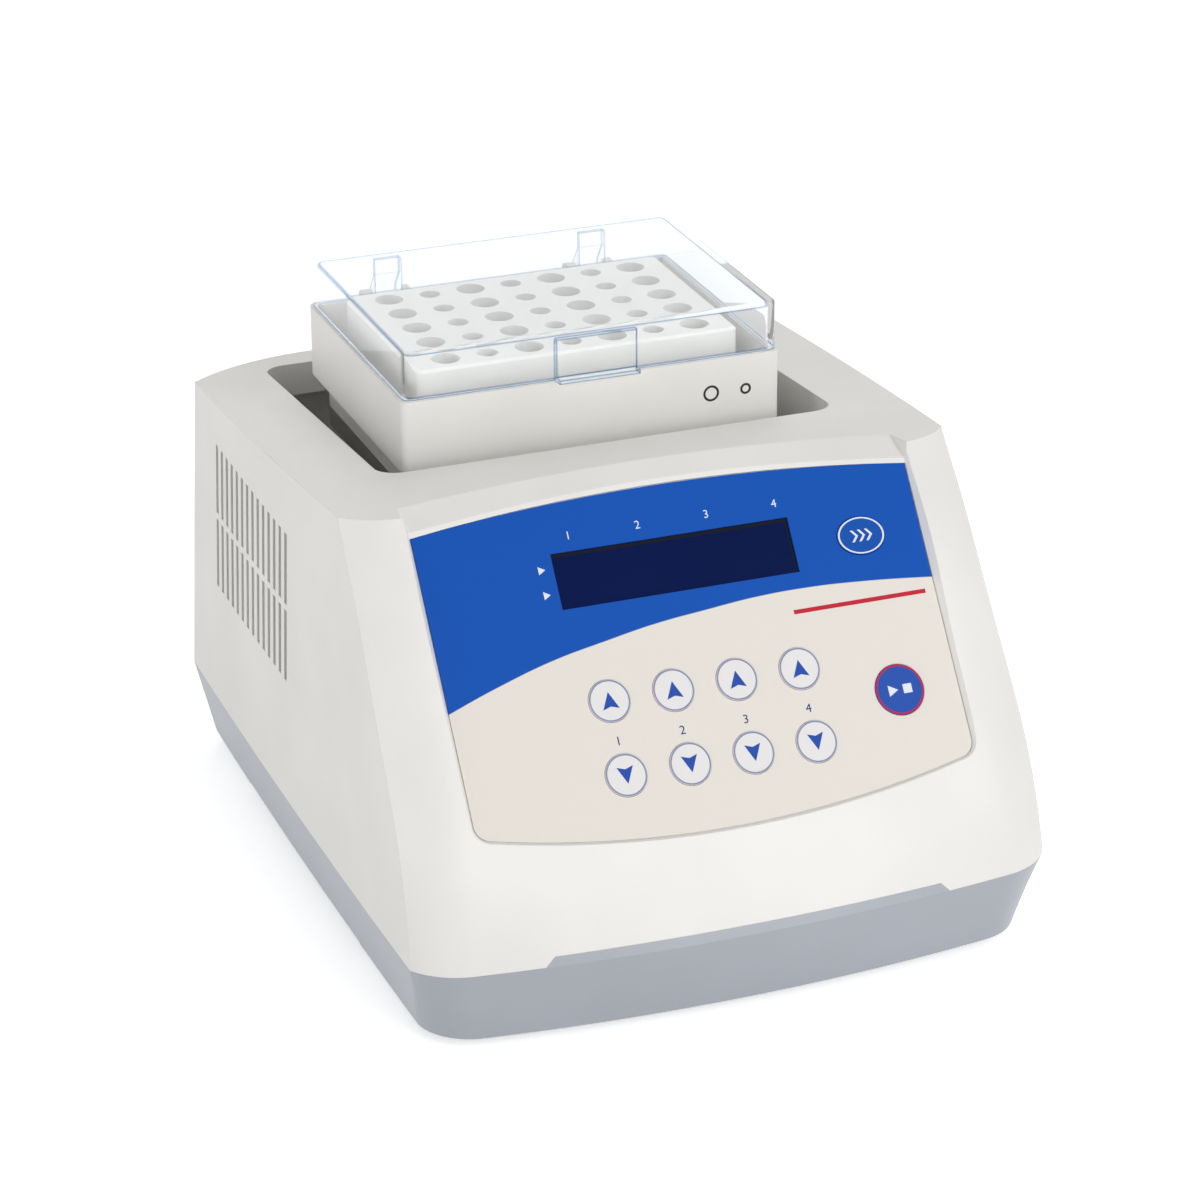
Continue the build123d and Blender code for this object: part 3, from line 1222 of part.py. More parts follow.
with BuildPart() as bearing_inner_ring:
    with BuildSketch(Plane.XY.offset(BEARING_BOTTOM_Z)):
        with Locations((PIN_X, SHAFT_Y)):
            Circle(INNER_RING_R)
            Circle(PIN_R + FIT_GAP, mode=Mode.SUBTRACT)
    extrude(amount=BEARING_H)
    with BuildSketch(Plane.XY.offset(HUB_TOP_Z)):
        with Locations((PIN_X, SHAFT_Y)):
            Circle(PIN_R + SPACER_T)
            Circle(PIN_R + FIT_GAP, mode=Mode.SUBTRACT)
    extrude(amount=BEARING_BOTTOM_Z - HUB_TOP_Z)
bearing_inner_ring.part.label = "bearing_inner_ring"
export_step(bearing_inner_ring.part, "parts/bearing_inner_ring.step")

with BuildPart() as bearing_outer_ring:
    with BuildSketch(Plane.XY.offset(BEARING_BOTTOM_Z)):
        with Locations((PIN_X, SHAFT_Y)):
            Circle(BEARING_R)
            Circle(INNER_RING_R + RUN_GAP, mode=Mode.SUBTRACT)
    extrude(amount=BEARING_H)
bearing_outer_ring.part.label = "bearing_outer_ring"
export_step(bearing_outer_ring.part, "parts/bearing_outer_ring.step")

# ---------------------------------------------------------------- glides under the platform
with BuildPart() as glide_posts:
    with BuildSketch(Plane.XY.offset(BRACKET_TOP_Z)):
        with Locations(GLIDE_AT):
            Circle(GLIDE_ROD_R)
    extrude(amount=PLATE_Z - GLIDE_GAP - GLIDE_PAD_H - BRACKET_TOP_Z)
glide_posts.part.label = "glide_posts"
export_step(glide_posts.part, "parts/glide_posts.step")

with BuildPart() as glide_pads:
    with BuildSketch(Plane.XY.offset(PLATE_Z - GLIDE_GAP - GLIDE_PAD_H)):
        with Locations(GLIDE_AT):
            Circle(GLIDE_PAD_R)
    extrude(amount=GLIDE_PAD_H)
glide_pads.part.label = "glide_pads"
export_step(glide_pads.part, "parts/glide_pads.step")

# ---------------------------------------------------------------- shaking platform
with BuildPart() as shaking_plate:
    with BuildSketch(Plane.XY.offset(PLATE_Z)):
        with Locations((TUB_CX, TUB_CY)):
            RectangleRounded(TUB_W - 2 * TUB_INSET, TUB_L - 2 * TUB_INSET, TUB_R)
    extrude(amount=PLATE_T)
    with BuildSketch(Plane.XY.offset(BOSS_BOTTOM_Z)):
        with Locations((PIN_X, SHAFT_Y)):
            Circle(BOSS_R)
    extrude(amount=PLATE_Z - BOSS_BOTTOM_Z)
    with BuildSketch(Plane.XY.offset(BOSS_BOTTOM_Z)):
        with Locations((PIN_X, SHAFT_Y)):
            Circle(BEARING_R + FIT_GAP)
    extrude(amount=BEARING_TOP_Z - BOSS_BOTTOM_Z, mode=Mode.SUBTRACT)
    with BuildSketch(Plane.XY.offset(BOSS_BOTTOM_Z)):
        with Locations((PIN_X, SHAFT_Y)):
            Circle(BEARING_R - 2)
    extrude(amount=PLATE_Z + 2 - BOSS_BOTTOM_Z, mode=Mode.SUBTRACT)
    with BuildSketch(Plane.XY.offset(TUB_SCREW_Z)):
        with Locations(TUB_SCREW_AT):
            Circle(TUB_SCREW_R + FIT_GAP)
    extrude(amount=PLATE_Z + PLATE_T - TUB_SCREW_Z, mode=Mode.SUBTRACT)
shaking_plate.part.label = "shaking_plate"
export_step(shaking_plate.part, "parts/shaking_plate.step")

with BuildPart() as tub:
    with BuildSketch(Plane.XY.offset(TUB_BOTTOM_Z)):
        with Locations((TUB_CX, TUB_CY)):
            RectangleRounded(TUB_W - 2 * TUB_INSET, TUB_L - 2 * TUB_INSET, TUB_R)
    extrude(amount=TUB_EDGE_Z - TUB_BOTTOM_Z)
    with BuildSketch(Plane.XY.offset(TUB_EDGE_Z)):
        with Locations((TUB_CX, TUB_CY)):
            RectangleRounded(TUB_W, TUB_L, TUB_R)
    extrude(amount=TUB_TOP_Z - TUB_EDGE_Z)
    with BuildSketch(Plane.XY.offset(LEDGE_Z)):
        with Locations((TUB_CX, TUB_CY)):
            Rectangle(TUB_W - 2 * TUB_WALL, TUB_L - 2 * TUB_WALL)
    extrude(amount=TUB_TOP_Z - LEDGE_Z, mode=Mode.SUBTRACT)
    # lower cavity, which leaves a corner for each screw down to the plate
    with BuildSketch(Plane.XY.offset(TUB_BOTTOM_Z + TUB_FLOOR_T)):
        with Locations((TUB_CX, TUB_CY)):
            Rectangle(TUB_W - 2 * TUB_INSET - 2 * TUB_WALL, TUB_L - 2 * TUB_INSET - 2 * TUB_WALL)
        with Locations(TUB_SCREW_AT):
            Circle(TUB_BOSS_R, mode=Mode.SUBTRACT)
    extrude(amount=LEDGE_Z - TUB_BOTTOM_Z - TUB_FLOOR_T, mode=Mode.SUBTRACT)
    with BuildSketch(Plane.XY.offset(TUB_BOTTOM_Z)):
        with Locations(TUB_SCREW_AT):
            Circle(TUB_SCREW_R + FIT_GAP)
    extrude(amount=LEDGE_Z - TUB_BOTTOM_Z, mode=Mode.SUBTRACT)
    # hinge ears on the rear wall, a pair for each lug of the lid
    for ear_x in EAR_X:
        with BuildSketch(Plane.YZ.offset(ear_x - EAR_T / 2)):
            with Locations((HINGE_Y, HINGE_Z)):
                Circle(KNUCKLE_R)
            with BuildLine():
                Polyline(
                    (TUB_REAR_Y - 0.5, HINGE_Z + KNUCKLE_R - 0.4),
                    (HINGE_Y, HINGE_Z + KNUCKLE_R),
                    (HINGE_Y + KNUCKLE_R, HINGE_Z),
                    (HINGE_Y, HINGE_Z - KNUCKLE_R),
                    (TUB_REAR_Y - 0.5, HINGE_Z - KNUCKLE_R - 4),
                    close=True,
                )
            make_face()
            with Locations((HINGE_Y, HINGE_Z)):
                Circle(HINGE_PIN_R + FIT_GAP, mode=Mode.SUBTRACT)
        extrude(amount=EAR_T)
tub.part.label = "tub"
export_step(tub.part, "parts/tub.step")

with BuildPart() as hinge_pins:
    for side in (1, -1):
        with BuildSketch(Plane.YZ.offset(side * LUG_X - HINGE_PIN_L / 2)):
            with Locations((HINGE_Y, HINGE_Z)):
                Circle(HINGE_PIN_R)
        extrude(amount=HINGE_PIN_L)
hinge_pins.part.label = "hinge_pins"
export_step(hinge_pins.part, "parts/hinge_pins.step")

with BuildPart() as tub_screws:
    with BuildSketch(Plane.XY.offset(LEDGE_Z)):
        with Locations(TUB_SCREW_AT):
            RegularPolygon(TUB_SCREW_HEAD_R, 6)
    extrude(amount=SCREW_HEAD_H)
    with BuildSketch(Plane.XY.offset(TUB_SCREW_Z + 0.5)):
        with Locations(TUB_SCREW_AT):
            Circle(TUB_SCREW_R)
    extrude(amount=LEDGE_Z - TUB_SCREW_Z - 0.5)
tub_screws.part.label = "tub_screws"
export_step(tub_screws.part, "parts/tub_screws.step")

with BuildPart() as insulation_pad:
    with BuildSketch(Plane.XY.offset(PAD_Z)):
        with Locations((TUB_CX, TUB_CY)):
            Rectangle(BLOCK_W, BLOCK_L)
    extrude(amount=PAD_T)
insulation_pad.part.label = "insulation_pad"
export_step(insulation_pad.part, "parts/insulation_pad.step")

with BuildPart() as heater_plate:
    with BuildSketch(Plane.XY.offset(HEATER_Z)):
        with Locations((TUB_CX, TUB_CY)):
            RectangleRounded(BLOCK_W, BLOCK_L, BLOCK_R)
    extrude(amount=HEATER_T)
heater_plate.part.label = "heater_plate"
export_step(heater_plate.part, "parts/heater_plate.step")

with BuildPart() as heating_block:
    with BuildSketch(Plane.XY.offset(BLOCK_Z)):
        with Locations((TUB_CX, TUB_CY)):
            RectangleRounded(BLOCK_W, BLOCK_L, BLOCK_R)
    extrude(amount=BLOCK_TOP_Z - BLOCK_Z)
    chamfer(heating_block.edges().group_by(Axis.Z)[-1], 1)
    # tube wells, in columns of large and small
    for well_at, well_r, depth in ((BIG_AT, BIG_R, BIG_DEPTH), (SMALL_AT, SMALL_R, SMALL_DEPTH)):
        with BuildSketch(Plane.XY.offset(BLOCK_TOP_Z)):
            with Locations(well_at):
                Circle(well_r)
        extrude(amount=-depth, mode=Mode.SUBTRACT)
    with BuildSketch(Plane.YZ.offset(TUB_CX - BLOCK_W / 2)):
        with Locations((PROBE_Y, PROBE_Z)):
            Circle(PROBE_R + PROBE_GAP)
    extrude(amount=PROBE_L + 0.5, mode=Mode.SUBTRACT)
heating_block.part.label = "heating_block"
export_step(heating_block.part, "parts/heating_block.step")

with BuildPart() as temperature_sensor:
    with BuildSketch(Plane.YZ.offset(TUB_CX - BLOCK_W / 2 - PROBE_OUT)):
        with Locations((PROBE_Y, PROBE_Z)):
            Circle(PROBE_R)
    extrude(amount=PROBE_L + PROBE_OUT)
temperature_sensor.part.label = "temperature_sensor"
export_step(temperature_sensor.part, "parts/temperature_sensor.step")

# ---------------------------------------------------------------- clear lid
with BuildPart() as lid:
    with BuildSketch(Plane.XY.offset(LID_BOTTOM_Z)):
        with Locations((TUB_CX, TUB_CY)):
            RectangleRounded(TUB_W - 2 * LID_INSET, TUB_L - 2 * LID_INSET, LID_R)
    extrude(amount=LID_TOP_Z - LID_BOTTOM_Z)
    fillet(lid.edges().group_by(Axis.Z)[-1], LID_EDGE_R)
    with BuildSketch(Plane.XY.offset(LID_BOTTOM_Z)):
        with Locations((TUB_CX, TUB_CY)):
            RectangleRounded(
                TUB_W - 2 * (LID_INSET + LID_WALL), TUB_L - 2 * (LID_INSET + LID_WALL), LID_R - LID_EDGE_R / 2
            )
    extrude(amount=LID_TOP_Z - LID_BOTTOM_Z - LID_ROOF, mode=Mode.SUBTRACT)
    # raised tab on the front, with a lip for the fingers
    with BuildSketch(Plane.XZ.offset(-LID_FRONT_Y)):
        with Locations((TAB_X, LID_BOTTOM_Z + TAB_H / 2)):
            Rectangle(TAB_W, TAB_H)
    extrude(amount=TAB_T)
    with BuildSketch(Plane.XZ.offset(-LID_FRONT_Y)):
        with Locations((TAB_X, LID_BOTTOM_Z + LIP_T / 2)):
            Rectangle(TAB_W, LIP_T)
    extrude(amount=LIP_REACH)
    # a lug at each hinge, down to its knuckle on the pin
    for side in (1, -1):
        with BuildSketch(Plane.YZ.offset(side * LUG_X - LUG_W / 2)):
            with BuildLine():
                Polyline(
                    (LID_REAR_Y - 0.5, LID_BOTTOM_Z),
                    (TUB_REAR_Y + 0.5, LID_BOTTOM_Z),
                    (HINGE_Y - KNUCKLE_R, HINGE_Z),
                    (HINGE_Y + KNUCKLE_R, HINGE_Z),
                    (HINGE_Y + KNUCKLE_R - 1, HINGE_Z + KNUCKLE_R),
                    (LID_REAR_Y + LUG_T, LID_BOTTOM_Z + LUG_H / 2),
                    (LID_REAR_Y + LUG_T, LID_BOTTOM_Z + LUG_H),
                    (LID_REAR_Y - 0.5, LID_BOTTOM_Z + LUG_H),
                    close=True,
                )
            make_face()
            with Locations((HINGE_Y, HINGE_Z)):
                Circle(KNUCKLE_R)
                Circle(HINGE_PIN_R + HINGE_GAP, mode=Mode.SUBTRACT)
        extrude(amount=LUG_W)
lid.part.label = "lid"
export_step(lid.part, "parts/lid.step")

# ---------------------------------------------------------------- mains inlet and switch in the rear
with BuildPart() as power_inlet:
    with BuildSketch(Plane.XZ.offset(-REAR_PANEL_Y)):
        with Locations((INLET_X, REAR_PANEL_Z)):
            RectangleRounded(INLET_FLANGE_W, INLET_FLANGE_H, 3)
        with Locations(INLET_SCREW_AT):
            Circle(INLET_SCREW_R + CASE_SCREW_GAP, mode=Mode.SUBTRACT)
    extrude(amount=-INLET_FLANGE_T)
    with BuildSketch(Plane.XZ.offset(-REAR_PANEL_Y)):
        with Locations((INLET_X, REAR_PANEL_Z)):
            Rectangle(INLET_W, INLET_H)
    extrude(amount=INLET_DEPTH)
    # socket with the two cut corners of an appliance inlet
    with BuildSketch(Plane.XZ.offset(-REAR_PANEL_Y - INLET_FLANGE_T)):
        with Locations((INLET_X, REAR_PANEL_Z)):
            Polygon(
                (-SOCKET_W / 2, -SOCKET_L / 2),
                (SOCKET_W / 2, -SOCKET_L / 2),
                (SOCKET_W / 2, SOCKET_L / 2 - SOCKET_CUT),
                (SOCKET_W / 2 - SOCKET_CUT, SOCKET_L / 2),
                (-SOCKET_W / 2 + SOCKET_CUT, SOCKET_L / 2),
                (-SOCKET_W / 2, SOCKET_L / 2 - SOCKET_CUT),
            )
    extrude(amount=SOCKET_DEPTH, mode=Mode.SUBTRACT)
power_inlet.part.label = "power_inlet"
export_step(power_inlet.part, "parts/power_inlet.step")

with BuildPart() as inlet_pins:
    with BuildSketch(Plane.XZ.offset(-SOCKET_FLOOR_Y)):
        with Locations(
            (INLET_X - INLET_PIN_X, REAR_PANEL_Z - INLET_PIN_Z),
            (INLET_X + INLET_PIN_X, REAR_PANEL_Z - INLET_PIN_Z),
            (INLET_X, REAR_PANEL_Z + INLET_PIN_Z),
        ):
            Rectangle(INLET_PIN_W, INLET_PIN_H)
    extrude(amount=-INLET_PIN_L)
inlet_pins.part.label = "inlet_pins"
export_step(inlet_pins.part, "parts/inlet_pins.step")

with BuildPart() as inlet_screws:
    with BuildSketch(Plane.XZ.offset(-REAR_PANEL_Y - INLET_FLANGE_T)):
        with Locations(INLET_SCREW_AT):
            Circle(SCREW_HEAD_R)
    extrude(amount=-SCREW_HEAD_H)
    with BuildSketch(Plane.XZ.offset(-REAR_PANEL_Y - INLET_FLANGE_T)):
        with Locations(INLET_SCREW_AT):
            Circle(INLET_SCREW_R)
    extrude(amount=INLET_FLANGE_T + WALL)
inlet_screws.part.label = "inlet_screws"
export_step(inlet_screws.part, "parts/inlet_screws.step")

with BuildPart() as switch_bezel:
    with BuildSketch(Plane.XZ.offset(-REAR_PANEL_Y)):
        with Locations((SWITCH_X, REAR_PANEL_Z)):
            RectangleRounded(ROCKER_W + 2 * BEZEL_W, ROCKER_L + 2 * BEZEL_W, 1.5)
    extrude(amount=-BEZEL_FLANGE_T)
    with BuildSketch(Plane.XZ.offset(-REAR_PANEL_Y)):
        with Locations((SWITCH_X, REAR_PANEL_Z)):
            Rectangle(ROCKER_W + 2 * BEZEL_T, ROCKER_L + 2 * BEZEL_T)
    extrude(amount=BEZEL_DEPTH)
    with BuildSketch(Plane.XZ.offset(-REAR_PANEL_Y - BEZEL_FLANGE_T)):
        with Locations((SWITCH_X, REAR_PANEL_Z)):
            Rectangle(ROCKER_W + 2 * ROCKER_GAP, ROCKER_L + 2 * ROCKER_GAP)
    extrude(amount=BEZEL_FLANGE_T + BEZEL_DEPTH - 2, mode=Mode.SUBTRACT)
    # pivot that the rocker tilts on
    with BuildSketch(Plane.YZ.offset(SWITCH_X - ROCKER_W / 2 - ROCKER_GAP - 0.5)):
        with Locations((ROCKER_Y, REAR_PANEL_Z)):
            Circle(ROCKER_PIN_R)
    extrude(amount=ROCKER_W + 2 * ROCKER_GAP + 1)
switch_bezel.part.label = "switch_bezel"
export_step(switch_bezel.part, "parts/switch_bezel.step")

with BuildPart() as switch_rocker:
    with BuildSketch(Plane.YZ.offset(SWITCH_X - ROCKER_W / 2)):
        with BuildLine():
            tilt = radians(ROCKER_TILT)
            face_y = ROCKER_Y + ROCKER_FACE
            for side in (1, -1):
                Polyline(
                    (face_y - 0.6, REAR_PANEL_Z),
                    (
                        face_y + ROCKER_L / 2 * sin(tilt) * side,
                        REAR_PANEL_Z + side * (ROCKER_L / 2 - ROCKER_TRIM) * cos(tilt),
                    ),
                    (ROCKER_Y - 1.5 + side * 1.2, REAR_PANEL_Z + side * (ROCKER_L / 2 - 2.2)),
                    (ROCKER_Y - 2.4, REAR_PANEL_Z),
                )
        make_face()
        with Locations((ROCKER_Y, REAR_PANEL_Z)):
            Circle(ROCKER_PIN_R + RUN_GAP, mode=Mode.SUBTRACT)
    extrude(amount=ROCKER_W)
switch_rocker.part.label = "switch_rocker"
export_step(switch_rocker.part, "parts/switch_rocker.step")

# ---------------------------------------------------------------- power supply and driver board
with BuildPart() as power_supply:
    with BuildSketch(Plane.XY.offset(SUPPORT_Z)):
        with Locations(SUPPLY_AT):
            Rectangle(SUPPLY_W, SUPPLY_L)
        with Locations(SUPPLY_POST_AT):
            Circle(BOARD_SCREW_R + BOARD_HOLE_GAP, mode=Mode.SUBTRACT)
    extrude(amount=BOARD_T)
    with BuildSketch(Plane.XY.offset(SUPPORT_Z + BOARD_T)):
        with Locations(SUPPLY_AT):
            Rectangle(SUPPLY_W - SUPPLY_RIM, SUPPLY_L - 2)
    extrude(amount=SUPPLY_H)
    # slotted top of the case
    with BuildSketch(Plane.XY.offset(SUPPORT_Z + BOARD_T + SUPPLY_H)):
        with Locations(SUPPLY_AT):
            with GridLocations(SUPPLY_SLOT_PITCH, 1, SUPPLY_SLOTS, 1):
                Rectangle(SUPPLY_SLOT_W, SUPPLY_L - 2 * SUPPLY_SLOT_IN)
    extrude(amount=-2, mode=Mode.SUBTRACT)
power_supply.part.label = "power_supply"
export_step(power_supply.part, "parts/power_supply.step")

with BuildPart() as driver_board:
    with BuildSketch(Plane.XY.offset(SUPPORT_Z)):
        with Locations(DRIVER_AT):
            Rectangle(DRIVER_W, DRIVER_L)
        with Locations(DRIVER_POST_AT):
            Circle(BOARD_SCREW_R + BOARD_HOLE_GAP, mode=Mode.SUBTRACT)
    extrude(amount=BOARD_T)
driver_board.part.label = "driver_board"
export_step(driver_board.part, "parts/driver_board.step")

with BuildPart() as driver_heatsink:
    with BuildSketch(Plane.XZ.offset(-DRIVER_AT[1] + HEATSINK_L / 2)):
        with Locations((DRIVER_AT[0] + HEATSINK_SHIFT, SUPPORT_Z + BOARD_T + HEATSINK_BASE_T / 2)):
            Rectangle(HEATSINK_W, HEATSINK_BASE_T)
        with Locations((DRIVER_AT[0] + HEATSINK_SHIFT, SUPPORT_Z + BOARD_T + HEATSINK_H / 2)):
            with GridLocations((HEATSINK_W - HEATSINK_FIN_T) / (HEATSINK_FINS - 1), 1, HEATSINK_FINS, 1):
                Rectangle(HEATSINK_FIN_T, HEATSINK_H)
    extrude(amount=-HEATSINK_L)
driver_heatsink.part.label = "driver_heatsink"
export_step(driver_heatsink.part, "parts/driver_heatsink.step")

with BuildPart() as capacitors:
    with BuildSketch(Plane.XY.offset(SUPPORT_Z + BOARD_T)):
        with Locations((DRIVER_AT[0] - CAPACITOR_SHIFT, DRIVER_AT[1])):
            with GridLocations(1, 2 * CAPACITOR_R + 3, 1, 2):
                Circle(CAPACITOR_R)
    extrude(amount=CAPACITOR_H)
capacitors.part.label = "capacitors"
export_step(capacitors.part, "parts/capacitors.step")

with BuildPart() as floor_screws:
    with BuildSketch(Plane.XY.offset(SUPPORT_Z + BOARD_T)):
        with Locations(SUPPLY_POST_AT + DRIVER_POST_AT):
            RegularPolygon(SCREW_HEAD_R, 6)
    extrude(amount=SCREW_HEAD_H)
    with BuildSketch(Plane.XY.offset(FLOOR_Z + 1)):
        with Locations(SUPPLY_POST_AT + DRIVER_POST_AT):
            Circle(BOARD_SCREW_R)
    extrude(amount=BRACKET_PAD_H - 1 + BOARD_T)
floor_screws.part.label = "floor_screws"
export_step(floor_screws.part, "parts/floor_screws.step")
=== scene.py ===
"""Dresses a bench thermal mixer: moulded case, printed keypad, orbiting tub with its block, and a clear lid.

Lengths are in metres, or in millimetres where a name ends in _mm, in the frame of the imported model:
+Z up, the keypad towards -Y.
"""

import json
import logging
from dataclasses import dataclass, field
from enum import Enum
from math import cos, pi, radians, sin

import bpy
from mathutils import Matrix, Vector

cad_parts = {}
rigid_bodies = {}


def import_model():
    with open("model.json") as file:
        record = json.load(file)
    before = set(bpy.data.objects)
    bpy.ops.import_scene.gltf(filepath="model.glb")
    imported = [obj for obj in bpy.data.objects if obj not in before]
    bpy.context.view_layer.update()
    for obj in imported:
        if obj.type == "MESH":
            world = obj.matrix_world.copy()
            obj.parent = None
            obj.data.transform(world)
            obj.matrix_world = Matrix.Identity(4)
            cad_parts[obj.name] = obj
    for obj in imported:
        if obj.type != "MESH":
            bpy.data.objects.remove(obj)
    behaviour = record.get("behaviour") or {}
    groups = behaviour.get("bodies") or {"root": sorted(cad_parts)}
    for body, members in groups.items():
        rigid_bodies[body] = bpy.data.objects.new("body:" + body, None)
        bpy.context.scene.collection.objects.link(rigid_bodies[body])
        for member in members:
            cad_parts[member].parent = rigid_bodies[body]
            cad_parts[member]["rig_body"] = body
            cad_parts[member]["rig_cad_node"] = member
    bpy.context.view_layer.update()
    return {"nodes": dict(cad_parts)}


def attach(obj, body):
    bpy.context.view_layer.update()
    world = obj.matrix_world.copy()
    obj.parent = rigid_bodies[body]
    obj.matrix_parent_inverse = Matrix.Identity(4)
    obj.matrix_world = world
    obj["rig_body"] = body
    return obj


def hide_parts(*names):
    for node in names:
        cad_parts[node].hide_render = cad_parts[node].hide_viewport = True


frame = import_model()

MM = 0.001
LOG = logging.getLogger("thermal_mixer")

# the keypad's plane: a point on it, and its slope to the bench
PANEL_ORIGIN = Vector((0.0, -68.5, 165.5)) * MM
PANEL_SLOPE = radians(53.3)
PANEL_X = Vector((1.0, 0.0, 0.0))
PANEL_UP = Vector((0.0, cos(PANEL_SLOPE), sin(PANEL_SLOPE)))
PANEL_OUT = Vector((0.0, -sin(PANEL_SLOPE), cos(PANEL_SLOPE)))

# printed ink and other marks lie this thick on what carries them
INK_MM = 0.04


def linear(code: str) -> tuple[float, float, float, float]:
    """Turns an sRGB hex colour into the linear values that a shader takes.

    Args:
        code: six hex digits, with or without a leading #.

    Returns:
        Red, green, blue and an alpha of 1.
    """
    digits = code.lstrip("#")
    parts = [int(digits[i : i + 2], 16) / 255 for i in (0, 2, 4)]
    curved = [c / 12.92 if c <= 0.04045 else ((c + 0.055) / 1.055) ** 2.4 for c in parts]
    return (curved[0], curved[1], curved[2], 1.0)


def shaded(colour: tuple[float, ...], factor: float) -> tuple[float, float, float, float]:
    """Makes a linear colour darker or lighter.

    Args:
        colour: red, green, blue and alpha.
        factor: what red, green and blue are multiplied by.

    Returns:
        The new colour, no brighter than white, with an alpha of 1.
    """
    red, green, blue = (min(1.0, part * factor) for part in colour[:3])
    return (red, green, blue, 1.0)


def add_node(
    owner: bpy.types.ID,
    kind: str,
    settings: dict[str, object] | None = None,
    values: dict[str | int, object] | None = None,
    links: dict[str | int, bpy.types.NodeSocket] | None = None,
) -> bpy.types.Node:
    """Adds one shader node with its settings, input values and links.

    Args:
        owner: the material or world whose tree takes the node.
        kind: Blender's type name of the node.
        settings: attributes of the node itself.
        values: unlinked input values, by the socket's name or number.
        links: output sockets to link, by the input socket's name or number.

    Returns:
        The new node.
    """
    node = owner.node_tree.nodes.new(kind)
    for name, value in (settings or {}).items():
        setattr(node, name, value)
    for name, value in (values or {}).items():
        node.inputs[name].default_value = value
    for name, socket in (links or {}).items():
        owner.node_tree.links.new(socket, node.inputs[name])
    return node


def new_material(name: str) -> tuple[bpy.types.Material, bpy.types.NodeSocket]:
    """Starts a node material.

    Args:
        name: the material's name.

    Returns:
        The material and its object coordinates.
    """
    material = bpy.data.materials.new(name)
    material.use_nodes = True
    material.node_tree.nodes.clear()
    return material, add_node(material, "ShaderNodeTexCoord").outputs["Object"]


def surfaced(
    material: bpy.types.Material, values: dict[str, object], links: dict[str, bpy.types.NodeSocket]
) -> bpy.types.Material:
    """Ends a material in its shader and its output.

    Args:
        material: the material.
        values: the shader's constants by socket name.
        links: what the shader's other sockets are linked to.

    Returns:
        The same material.
    """
    shader = add_node(material, "ShaderNodeBsdfPrincipled", values=values, links=links)
    add_node(material, "ShaderNodeOutputMaterial", links={"Surface": shader.outputs["BSDF"]})
    return material


def set_ramp(
    ramp: bpy.types.Node, low: tuple[float, ...], high: tuple[float, ...], ends: tuple[float, float] = (0.0, 1.0)
) -> bpy.types.NodeSocket:
    """Sets the two ends of a colour ramp.

    Args:
        ramp: the Color Ramp node.
        low: the colour at its lower end.
        high: the colour at its upper end.
        ends: where the two ends lie between 0 and 1.

    Returns:
        The ramp's colour.
    """
    for element, colour, place in zip(ramp.color_ramp.elements, (low, high), ends):
        element.position = place
        element.color = colour
    return ramp.outputs["Color"]


def background_rays(owner: bpy.types.ID) -> bpy.types.NodeSocket:
    """Tells the rays that show the surroundings, straight or by gloss or glass, from those that light the object.

    Args:
        owner: the material or world that asks.

    Returns:
        1 for a ray that shows the surroundings, and 0 for any other.
    """
    rays = add_node(owner, "ShaderNodeLightPath").outputs
    straight = add_node(
        owner,
        "ShaderNodeMath",
        {"operation": "MAXIMUM"},
        links={0: rays["Is Camera Ray"], 1: rays["Is Glossy Ray"]},
    )
    through = add_node(
        owner,
        "ShaderNodeMath",
        {"operation": "MAXIMUM"},
        links={0: straight.outputs["Value"], 1: rays["Is Transmission Ray"]},
    )
    return through.outputs["Value"]


# ---------------------------------------------------------------- finishes
@dataclass(frozen=True)
class MouldedPlastic:
    """Injection-moulded ABS or nylon with a fine spark-eroded grain, which breaks up its highlights."""

    name: str
    colour: str
    roughness: float = 0.42
    # the grain is drawn at about twice its real size so that it shows
    grain_mm: float = 0.55
    grain_depth: float = 0.05
    tone: float = 0.035
    tone_mm: float = 60.0
    edge_mm: float = 0.35
    ior: float = 1.53

    def build(self) -> bpy.types.Material:
        """Builds the material: tone that drifts with flow and cooling, fine grain, and edges rounded by the tool."""
        material, place = new_material(self.name)
        base = linear(self.colour)
        cloud = add_node(
            material,
            "ShaderNodeTexNoise",
            values={"Scale": 1 / (self.tone_mm * MM), "Detail": 2.0},
            links={"Vector": place},
        )
        ramp = add_node(material, "ShaderNodeValToRGB", links={"Fac": cloud.outputs["Fac"]})
        tone = set_ramp(ramp, shaded(base, 1 - self.tone), shaded(base, 1 + self.tone), (0.3, 0.7))
        grain = add_node(
            material,
            "ShaderNodeTexNoise",
            values={"Scale": 1 / (self.grain_mm * MM), "Detail": 3.0, "Roughness": 0.65},
            links={"Vector": place},
        )
        edges = add_node(material, "ShaderNodeBevel", {"samples": 4}, {"Radius": self.edge_mm * MM})
        bump = add_node(
            material,
            "ShaderNodeBump",
            values={"Strength": self.grain_depth, "Distance": 0.1 * MM},
            links={"Height": grain.outputs["Fac"], "Normal": edges.outputs["Normal"]},
        )
        gloss = add_node(
            material,
            "ShaderNodeMapRange",
            values={"To Min": self.roughness - 0.04, "To Max": self.roughness + 0.05},
            links={"Value": grain.outputs["Fac"]},
        )
        return surfaced(
            material,
            {"IOR": self.ior},
            {"Base Color": tone, "Roughness": gloss.outputs["Result"], "Normal": bump.outputs["Normal"]},
        )


